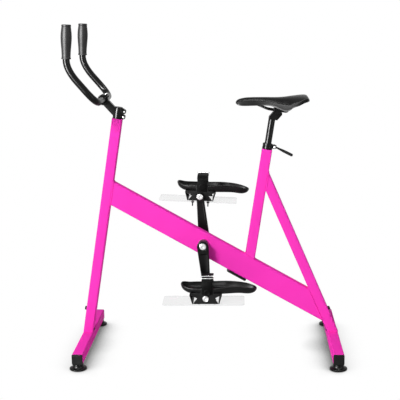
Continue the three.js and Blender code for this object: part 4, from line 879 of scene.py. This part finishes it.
def paddle_screw():
    """A nut, a washer and the threaded tip below the paddle, whose radius winds with the thread's pitch."""
    under = PADDLE_TOP - PADDLE_THICKNESS - GAP
    height = np.linspace(under - 20, -16, 61)[:, None]
    turn = np.linspace(0, 2 * np.pi, 20, endpoint=False)
    thread = 2.35 + 0.18 * np.sin(2 * np.pi * height / 1.2 - turn)
    thread *= smooth(height, under - 20.4, under - 18) * 0.5 + 0.5
    shank = coords(thread * np.cos(turn), thread * np.sin(turn), height)
    hexagon = rounded_polygon(circle(5 / math.cos(math.pi / 6), 6), 0.6, 2)
    washer = lathe(box(0, under - 1, 6, under), 0.3, 32, steps=8)
    return shank, prism(hexagon, under - 6, under - 1, 0.6), washer


def truss():
    """Two end plates with a window at each side, joined by the spindle's barrel, two legs, a web and a lug
    for the paddle's screws."""
    top, low, half = PEDAL_TOP, PEDAL_BOTTOM, PEDAL_HALF
    side = np.array([(56, top + 5), (53.5, top - 2.2), (31, 1.5), (44.5, low + 5), (45, low)])
    end_plate = plate(join([side * (-1, 1), side[::-1]]), 0.8, half - 5, half, 0.7, 3)
    leg = plate([(60, top), (56, top), (45.8, low), (50, low)], 0.9, -half, half, 0.8, 3)
    web = plate([(-17, top), (-13, low + 1), (13, low + 1), (17, top)], 1.2, 6 - half, half - 2, 0.5, 3)
    lug = plate(box(-37, low, 37, low + 6), 2, 17 - half, 33 - half, 0.6, 3)
    barrel = turned(box(0, 0.2 - half, 9.5, half - 0.2), 48, "y")
    return [*both(end_plate), *both(leg, 0), web, lug, barrel]


def pedal(hand, side):
    """The cradle has an upstand on each side that the belt passes through."""
    place = tilted(0, 0, PEDAL_LEANS[hand])
    place[:3, 3] = joint_point(f"{hand}_pedal_spin")
    place = place @ flipped(side)
    cap = lathe([(0, 50), (9.5, 50), (9.5, 54.3), (11, 54.3), (11, 56.4), (9.6, 57.8), (7.4, 57.8), (6.9, 57),
                 (2.2, 57), (1.8, 56.4), (0, 56.4)], 0.4, 64, "y")
    ear = plate([(-25, 16), (25, 16), (23, 40), (-23, 40)], 5, 50.5, 53.1, 0.9, 5) + (STRAP_PLACE, 0, 0)
    sheet = prism(rounded_box(PADDLE_FRONT + PADDLE_BACK, PADDLE_WIDTH, 12, 8), PADDLE_TOP - PADDLE_THICKNESS,
                  PADDLE_TOP, 1.2, 4) + ((PADDLE_BACK - PADDLE_FRONT) / 2, 0, 0)
    piece(f"{hand}_pedal_truss", PLASTIC, f"{hand}_pedal_body", *truss(), place=place)
    piece(f"{hand}_spindle_cap", STEEL, f"{hand}_pedal_cap", cap, place=place)
    piece(f"{hand}_foot_shell", PLASTIC, f"{hand}_foot_cradle", cradle(), *both(ear), place=place)
    piece(f"{hand}_belt", WEBBING, f"{hand}_foot_strap", *strap(), place=place)
    piece(f"{hand}_strap_ring", STEEL, None, strap_ring(), place=place, body=f"{hand}_pedal", loop=True)
    piece(f"{hand}_clear_fin", CLEAR, f"{hand}_paddle", sheet, place=place)
    for end, way in ENDS:
        screw = [grid + (way * 30, 25 - PEDAL_HALF, 0) for grid in paddle_screw()]
        piece(f"{hand}_{end}_fin_screw", METAL, f"{hand}_{end}_paddle_screw", *screw, place=place)


# Seat: sleeve, collar with its lever, post, rail clamp and saddle
COLLAR_LOW, COLLAR_HEIGHT = SEAT_TUBE_LENGTH + 2, 19
COLLAR_MIDDLE = COLLAR_LOW + COLLAR_HEIGHT / 2
COLLAR_RADIUS, COLLAR_BORE, SLOT_HALF = 19.3, 16, 1.3
EAR_FACE, EAR_BOLT = 6.8, 25.8
LEVER_PIVOT, LEVER_DROP, LEVER_LENGTH = 13.6, 27, 77
TUBE_RADIUS, RAIL_RADIUS = 12.7, 3.5
HEAD_TOP, HEAD_LOW, TUBE_TOP = 603, 573.7, 580.7
SADDLE_LENGTH, SADDLE_WIDTH, SADDLE_DEPTH, NOSE_REACH = 270, 156, 32, 154
# Along the saddle, from nose to tail: place, then half width, drop of the top and lift of the lower edge
WIDTH_SHARES = [
    (0, 0.1), (0.012, 0.17), (0.05, 0.235), (0.15, 0.275), (0.35, 0.33), (0.52, 0.5), (0.68, 0.79),
    (0.82, 0.985), (0.9, 1), (0.96, 0.9), (0.99, 0.68), (1, 0.5),
]
TOP_SHARES = [
    (0, 0.5), (0.012, 0.36), (0.05, 0.17), (0.15, 0.02), (0.35, 0), (0.6, 0.02), (0.8, -0.14), (0.9, -0.2),
    (0.965, -0.14), (0.99, 0.1), (1, 0.28),
]
EDGE_SHARES = [
    (0, 0.3), (0.03, 0.12), (0.1, 0.03), (0.35, 0.06), (0.45, 0.04), (0.52, -0.1), (0.58, -0.28),
    (0.64, -0.48), (0.69, -0.57), (0.735, -0.42), (0.775, -0.14), (0.86, 0.14), (0.93, 0.42), (1, 0.54),
]
PAN_SHARES = [
    (0, 0.3), (0.03, 0.12), (0.1, 0.03), (0.35, 0.02), (0.55, -0.06), (0.72, -0.16), (0.81, -0.12),
    (0.88, 0.08), (0.94, 0.36), (1, 0.54),
]
PAN_RISE = 8
# Height of the crease line along each side, as a share of the padding's height
SEAM_SHARES = [
    (0, 0.42), (0.08, 0.44), (0.18, 0.5), (0.32, 0.41), (0.48, 0.34), (0.68, 0.38), (0.76, 0.31), (0.84, 0.3),
    (0.95, 0.46), (1, 0.46),
]


def saddle_lines(place):
    """Place along the saddle, half width, height of the top and height of the lower edge."""
    return (SADDLE_LENGTH * place - NOSE_REACH, SADDLE_WIDTH / 2 * share_at(WIDTH_SHARES, place),
            -SADDLE_DEPTH * share_at(TOP_SHARES, place), SADDLE_DEPTH * (share_at(EDGE_SHARES, place) - 1))


def pan_height(place):
    """Height of the pan's flat middle."""
    return SADDLE_DEPTH * (share_at(PAN_SHARES, place) - 1) + PAN_RISE


def hollow(place, edge, share, limit):
    """How far the underside lies above the lower edge: the pan's rise, which fades towards the sides."""
    return np.minimum((pan_height(place) - edge) * (1 - smooth(np.abs(share), 0.55, 0.95)), limit)


def saddle_places(count):
    """Places from nose to tail that lie closer together near both."""
    even = np.linspace(0, 1, count)[:, None]
    return 0.28 * even + 0.72 * (1 - np.cos(np.pi * even)) / 2


def seam_places(place):
    """Half width and height of the crease line, and height of the padding's rim."""
    _, half, top, edge = saddle_lines(place)
    rim = edge + 5.4
    return half * 0.985, rim + (top - rim) * share_at(SEAM_SHARES, place), rim


def cushion():
    """Sections across the padding: side panels up to a crease line, then a top that falls from its middle by
    a power of the distance, with the corner at the crease rounded by averaging, and a hollow underside."""
    place = saddle_places(140)
    x, half, top, edge = saddle_lines(place)
    seam_half, seam, rim = seam_places(place)
    up = np.array([0, 0.3, 0.6, 0.78, 0.88, 0.94, 0.98])[None]
    inwards = np.array([1, 0.985, 0.965, 0.94, 0.91, 0.87, 0.8, 0.7, 0.6, 0.45, 0.3, 0.15, 0])[None]
    bulge = 0.012 * half * np.sin(np.pi * up)
    side = coords(half + (seam_half - half) * up**2 + bulge, rim + (seam - rim) * up)
    crown = coords(seam_half * inwards, seam + (top - seam) * (1 - inwards**2.7))
    over = join([side, crown], 1)
    over = join([over, over[:, -2::-1] * (-1, 1)], 1)
    for _ in range(2):
        over[:, 1:-1] = (over[:, :-2] + 2 * over[:, 1:-1] + over[:, 2:]) / 4
    share = np.linspace(-1, 1, 23)[None, 1:-1]
    under = coords(half * share, rim + hollow(place, edge, share, (top - rim) / 2))
    y, z = np.moveaxis(join([over, under], 1), -1, 0)
    return coords(x, y, z - 0.5)


def seam_line(side):
    """The path of the piping: along the crease of the padding, from behind the nose to the tail."""
    place = np.linspace(0.03, 0.975, 120)
    half, height, _ = seam_places(place)
    return coords(SADDLE_LENGTH * place - NOSE_REACH, side * (half - 1.2), height - 0.3)


def pan():
    """Sections across the shell under the padding: flat in the middle and turned down at the sides."""
    place = saddle_places(90)
    x, half, top, edge = saddle_lines(place)
    share = np.linspace(-1, 1, 31)[None]
    lift = hollow(place, edge, share, (top - edge - 4.5) / 2 - 0.9)
    low = coords(x, np.maximum(half - 2.2, half / 2) * share, edge + lift)
    return join([low, (low + (0, 0, 4.8))[:, ::-1]], 1)


def rail_under_shell(from_nose, sideways):
    """A point of the rail's middle line, just under the pan, in the clamp's frame."""
    height = pan_height(np.array(from_nose / SADDLE_LENGTH)) - RAIL_RADIUS - 0.7
    return put(put(np.array([from_nose - NOSE_REACH, sideways, height]), SADDLE), np.linalg.inv(CLAMP))


def rails():
    """One bent wire: from under the tail, through the clamp, up to the nose and back on the other side."""
    half = np.array([rail_under_shell(221, 32), rail_under_shell(198, 32), (36, 21, 0), (-36, 21, 0),
                     rail_under_shell(78, 7.5), rail_under_shell(42, 7.5)])
    bends = [9, 9, 9, 9, 7.5]
    path = rounded_line(join([half, half[::-1] * (1, -1, 1)]), [*bends, *bends[::-1]], steps=10)
    return swept(path, circle(RAIL_RADIUS, 20), (0, 0, 1))


def seat_sleeve():
    """A plastic bush: a full ring in the tube and a slit ring with a small lip above it."""
    top = SEAT_TUBE_LENGTH + 22.5
    return lathe(box(13.1, 391, 15.7, 461), 0.4), split_ring(box(13.1, 460, 15.7, top), SLOT_HALF, 14)


def seat_collar():
    """A split ring with a groove round it, and its two ears."""
    low, high, rim = COLLAR_LOW, COLLAR_LOW + COLLAR_HEIGHT, COLLAR_RADIUS
    ring = split_ring([
        (COLLAR_BORE, low), (rim, low), (rim, low + 7), (rim - 0.8, low + 8),
        (rim - 0.8, high - 8), (rim, high - 7), (rim, high), (COLLAR_BORE, high)], SLOT_HALF, 17)
    ear = plate(box(17, COLLAR_MIDDLE - 6.5, 32.3, COLLAR_MIDDLE + 6.5), 4.5, SLOT_HALF, EAR_FACE, 0.8, 5)
    return ring, *both(ear)


def collar_bolt():
    """A through bolt with a domed nut on the left ear."""
    bolt = lathe([(0, -6), (2.5, -6), (4.4, -4.8), (5, -2.6), (5, 0), (2.5, 0), (2.5, 17.4), (0, 17.4)],
                 0.5, 32, "y", 4)
    return bolt + (EAR_BOLT, -EAR_FACE - GAP, COLLAR_MIDDLE)


def collar_lever():
    """A cam hub and a handle that thins, widens and curls slightly towards its tip."""
    hub = lathe([(0, -7), (6.5, -7), (6.5, -3), (5.2, -2.6), (5.2, 2.6), (6.5, 3), (6.5, 7), (0, 7)], 0.5, 40)
    along = np.linspace(0, 1, 30)
    path = coords(2 + (LEVER_LENGTH - 2) * along, 1.6 * np.sin(np.pi * along) - 0.8 * along, 0)
    width = 0.62 + 0.38 * smooth(along, 0.1, 0.6)
    width *= np.sqrt(1 - smooth(along, 0.93, 1.0) ** 2 * 0.75)
    shares = coords(1.25 - 0.35 * smooth(along, 0, 0.4), width)[:, None]
    return hub, swept(path, rounded_box(4.6, 11, 2.0, 5) * shares, (0, 0, 1))


def seat_post():
    """A tube into the head, whose two cheeks and front carry a round cradle for the rail clamp."""
    tube = lathe(box(0, TUBE_TOP - 300, TUBE_RADIUS, TUBE_TOP), 0.6, 64)
    head = rounded_line(
        [(2, HEAD_TOP), (0.2, HEAD_TOP), (-TUBE_RADIUS, TUBE_TOP + 2), (-TUBE_RADIUS, HEAD_LOW),
         (19.7, HEAD_LOW), (34.2, HEAD_TOP - 7), (34.2, HEAD_TOP), (29, HEAD_TOP)], 2.0, steps=4)
    rocker = arc(RAIL_SETBACK, SEAT_TUBE_LENGTH + RAIL_RISE, 14.3, 209, 331, 14)
    cheek = prism(join([head, rocker[::-1]]), 7.7, 15, 0.8, along="y")
    front = [(-TUBE_RADIUS, HEAD_LOW), (2.7, HEAD_LOW), (2.7, 601), (0.2, 602), (-TUBE_RADIUS, TUBE_TOP)]
    bridge = box(1, 589, 31, 595.2)
    return tube, *both(cheek), *(plate(corners, 1.0, -8, 8, 0.3) for corners in (front, bridge))


def rail_clamp():
    """A half-round lower part and a flat upper one, with a screw through both."""
    half = 27
    rocker = join([arc(0, 0, 14, 180, 360, 32), [(14, -0.15), (-14, -0.15)]])
    lower = prism(rocker, -half, half, 0.7, along="y")
    upper = prism(rounded_box(30, 9, 2.5) + (0, 4.65), -half, half, 0.9, along="y")
    shank = lathe([(0, -37), (4, -37), (4, -28.5), (5.5, -28.5), (5.5, -23.5), (4, -23.5), (4, 9.4),
                   (0, 9.4)], 0.3, 32)
    piece("lower_clamp_rocker", METAL, "lower_rail_clamp", lower, place=CLAMP)
    piece("upper_clamp_plate", METAL, "upper_rail_clamp", upper, place=CLAMP)
    piece("clamp_screw", STEEL, "clamp_bolt", screw_head(9.3, 6.5, 5, 32), shank, place=CLAMP)


def seat():
    lever_place = SEAT @ shifted(EAR_BOLT, LEVER_PIVOT, COLLAR_MIDDLE) @ tilted(0, 0, LEVER_DROP - SEAT_LEAN)
    piece("seat_tube_bush", PLASTIC, "seat_sleeve", *seat_sleeve(), place=SEAT, loop=(True, False))
    piece("seat_tube_collar", METAL, "seat_collar", *seat_collar(), place=SEAT)
    piece("collar_through_bolt", STEEL, "collar_bolt", collar_bolt(), place=SEAT)
    piece("quick_lever", PLASTIC, "collar_lever", *collar_lever(), place=lever_place)
    piece("sliding_seat_post", METAL, "seat_post", *seat_post(), place=SEAT)
    rail_clamp()
    piece("saddle_rail_wire", METAL, "saddle_rails", rails(), place=CLAMP)
    piece("saddle_pan", PLASTIC, "saddle_shell", pan(), place=SADDLE)
    padding = piece("saddle_padding", COVER, "saddle_cushion", cushion(), place=SADDLE, sharp=60)
    for hand, side in HANDS:
        # The piping's paler grey is a painted highlight along the crease, not the cord's own colour.
        piping = swept(seam_line(side), circle(0.9, 8), (0, 0, 1))
        piece(f"{hand}_saddle_piping_painted_highlight", HIGHLIGHT_CORD, None, piping, place=SADDLE, body="saddle")


# Stem, handlebar and grips
STEM_HEIGHT, STEM_BORE, STEM_RADIUS = 41, 14.6, 18.3
BAR_REACH, BAR_RISE, ARM_ROOT = 61, 62, 13
ARM_LEAN = angle(BAR_RISE - ARM_ROOT, BAR_REACH)
ARM_LENGTH = math.hypot(BAR_REACH, BAR_RISE - ARM_ROOT)
BAR_RADIUS, BAR_CLAMP_RADIUS, BAR_CLAMP_HALF = 12.7, 20, 21
BAR_CLAMP = shifted(-BAR_REACH, 0, BAR_RISE) @ tilted(0, 0, ARM_LEAN)
BAR = shifted(*joint_point("handlebar_tilt"))
BAR_HALF, BAR_FORWARD, BAR_LIFT, END_LIFT, END_BACK = 170, 103, 122, 153, 7
PINCH_HEIGHTS = {"lower": 9, "upper": 29}


def stem():
    """A slit barrel with two lobes for its pinch bolts, an arm whose section is pressed in by a smooth step
    inside its panels, and the rear half of the bar clamp."""
    barrel = split_ring(box(STEM_BORE, 0, STEM_RADIUS, STEM_HEIGHT), 1.2, 16)
    lobes = [grid for z in PINCH_HEIGHTS.values()
             for grid in both(plate(box(14, z - 8.5, 28.6, z + 8.5), 7, 1.2, 9, 0.9, 6))]
    web = plate(box(13, 1, 21, 40), 1.5, 1.2, 8.4, 0.6)
    x, y = rounded_box(27, 30, 4.5).T
    z = np.linspace(8, ARM_LENGTH - 12, 40)[:, None]
    depth = smooth(z, STEM_RADIUS + 2, STEM_RADIUS + 4) * (1 - smooth(z, ARM_LENGTH - 26, ARM_LENGTH - 23))
    pressed = 1.2 * depth * smooth(8.5 - np.abs(x), 0, 1.2) * np.sign(y)
    arm = put(coords(x, y - pressed, z), tilted(0, ARM_ROOT, ARM_LEAN - 90))
    return (barrel, *lobes, *both(web), arm,
            *(put(grid, BAR_CLAMP) for grid in half_clamp(1)))


def half_clamp(side):
    """Half of the ring round the handlebar, with a lug above and below."""
    ring = rounded_polygon(box(13, -BAR_CLAMP_HALF, BAR_CLAMP_RADIUS, BAR_CLAMP_HALF), 1.2, 4)
    sector = np.swapaxes(turned(ring, 40, "y", -87, 87), 0, 1)
    lug = plate(box(1, 16, 7, 27), 1.6, -BAR_CLAMP_HALF, BAR_CLAMP_HALF, 0.9)
    return [grid * (side, 1, 1) for grid in (sector, *both(lug, 2))]


def steering():
    """The handlebar bends from one raised end, down along an arm and across the clamp, to the other."""
    plug = prism(rounded_box(31.4, 31.4, 1), POST_LENGTH - 60, POST_LENGTH, 0.5)
    stub = lathe(box(0, POST_LENGTH - 30, 14.3, POST_LENGTH + 44), 0.8)
    piece("steerer_stub", METAL, "steerer", plug, stub, place=POST)
    piece("quill_stem", METAL, "stem", *stem(), place=STEM)
    piece("bar_faceplate", METAL, "stem_faceplate", *half_clamp(-1), place=STEM @ BAR_CLAMP)
    head = screw_head(9.3, 4.2, 4.5, 32, "y") * (1, -1, 1)
    shank = turned(box(0, -9.4, 2.5, 9.3), 24, "y")
    for name, z in PINCH_HEIGHTS.items():
        place = STEM @ shifted(22.5, 0, z)
        piece(f"{name}_pinch_screw", STEEL, f"{name}_pinch_bolt", head, shank, place=place)
    head = screw_head(7, 3.8, 4, 28, "x") * (-1, 1, 1)
    for number, (y, z) in enumerate(((-13, 21.5), (13, 21.5), (-13, -21.5), (13, -21.5)), 1):
        piece(f"faceplate_screw_{number}", STEEL, None, head + (0, y, z), place=STEM @ BAR_CLAMP)
    half = np.array([(END_BACK - BAR_FORWARD, BAR_HALF, BAR_LIFT + END_LIFT),
                     (-BAR_FORWARD, BAR_HALF, BAR_LIFT), (0, BAR_HALF, 0)])
    bends = [34, 60, 60, 60]
    path = rounded_line(join([half * (1, -1, 1), half[::-1]]), bends, bends[::-1], steps=16)
    piece("bent_handlebar", METAL, "handlebar", swept(path, circle(BAR_RADIUS, 40), (1, 0, 0.3)), place=BAR)
    for hand, side in HANDS:
        end = tilted(END_BACK - BAR_FORWARD, BAR_LIFT + END_LIFT, angle(END_BACK, END_LIFT), side * BAR_HALF)
        piece(f"{hand}_foam_grip", FOAM, f"{hand}_grip", turned(grip_profile(), 64), place=BAR @ end)


def grip_profile():
    """A sleeve closed at its top: a low flange, a belly, fine rings near each end and a crown."""
    low, top = -116.7, 3.3
    body = np.linspace(low + 5, top - 9, 70)
    share = (body - low) / (top - low)
    belly = share_at([(0, 16), (0.08, 15.7), (0.25, 16.6), (0.42, 18.3), (0.58, 19.5), (0.7, 19.4),
                      (0.84, 17.9), (0.94, 16.4), (1, 16.3)], share)
    rings = 0.3 * np.sin(2 * np.pi * body / 4) * (1 - smooth(share, 0.08, 0.14) + smooth(share, 0.86, 0.9))
    tail = rounded_line([(13.1, low + 0.3), (13.1, low), (17, low), (17, low + 4), (16.1, low + 5)], 1.0)
    crown = rounded_line([(16.2, top - 8), (17, top - 7), (17, top - 1.5), (14, top), (4, top - 0.8),
                          (0, top - 0.8)], 1.0)
    return join([tail, coords(belly + rings, body), crown])


base()
leg_bolts()
frame_tubes()
beam_cover()
drive()
seat()
steering()
camera()
surroundings()

bpy.context.scene.view_settings.view_transform = "Standard"
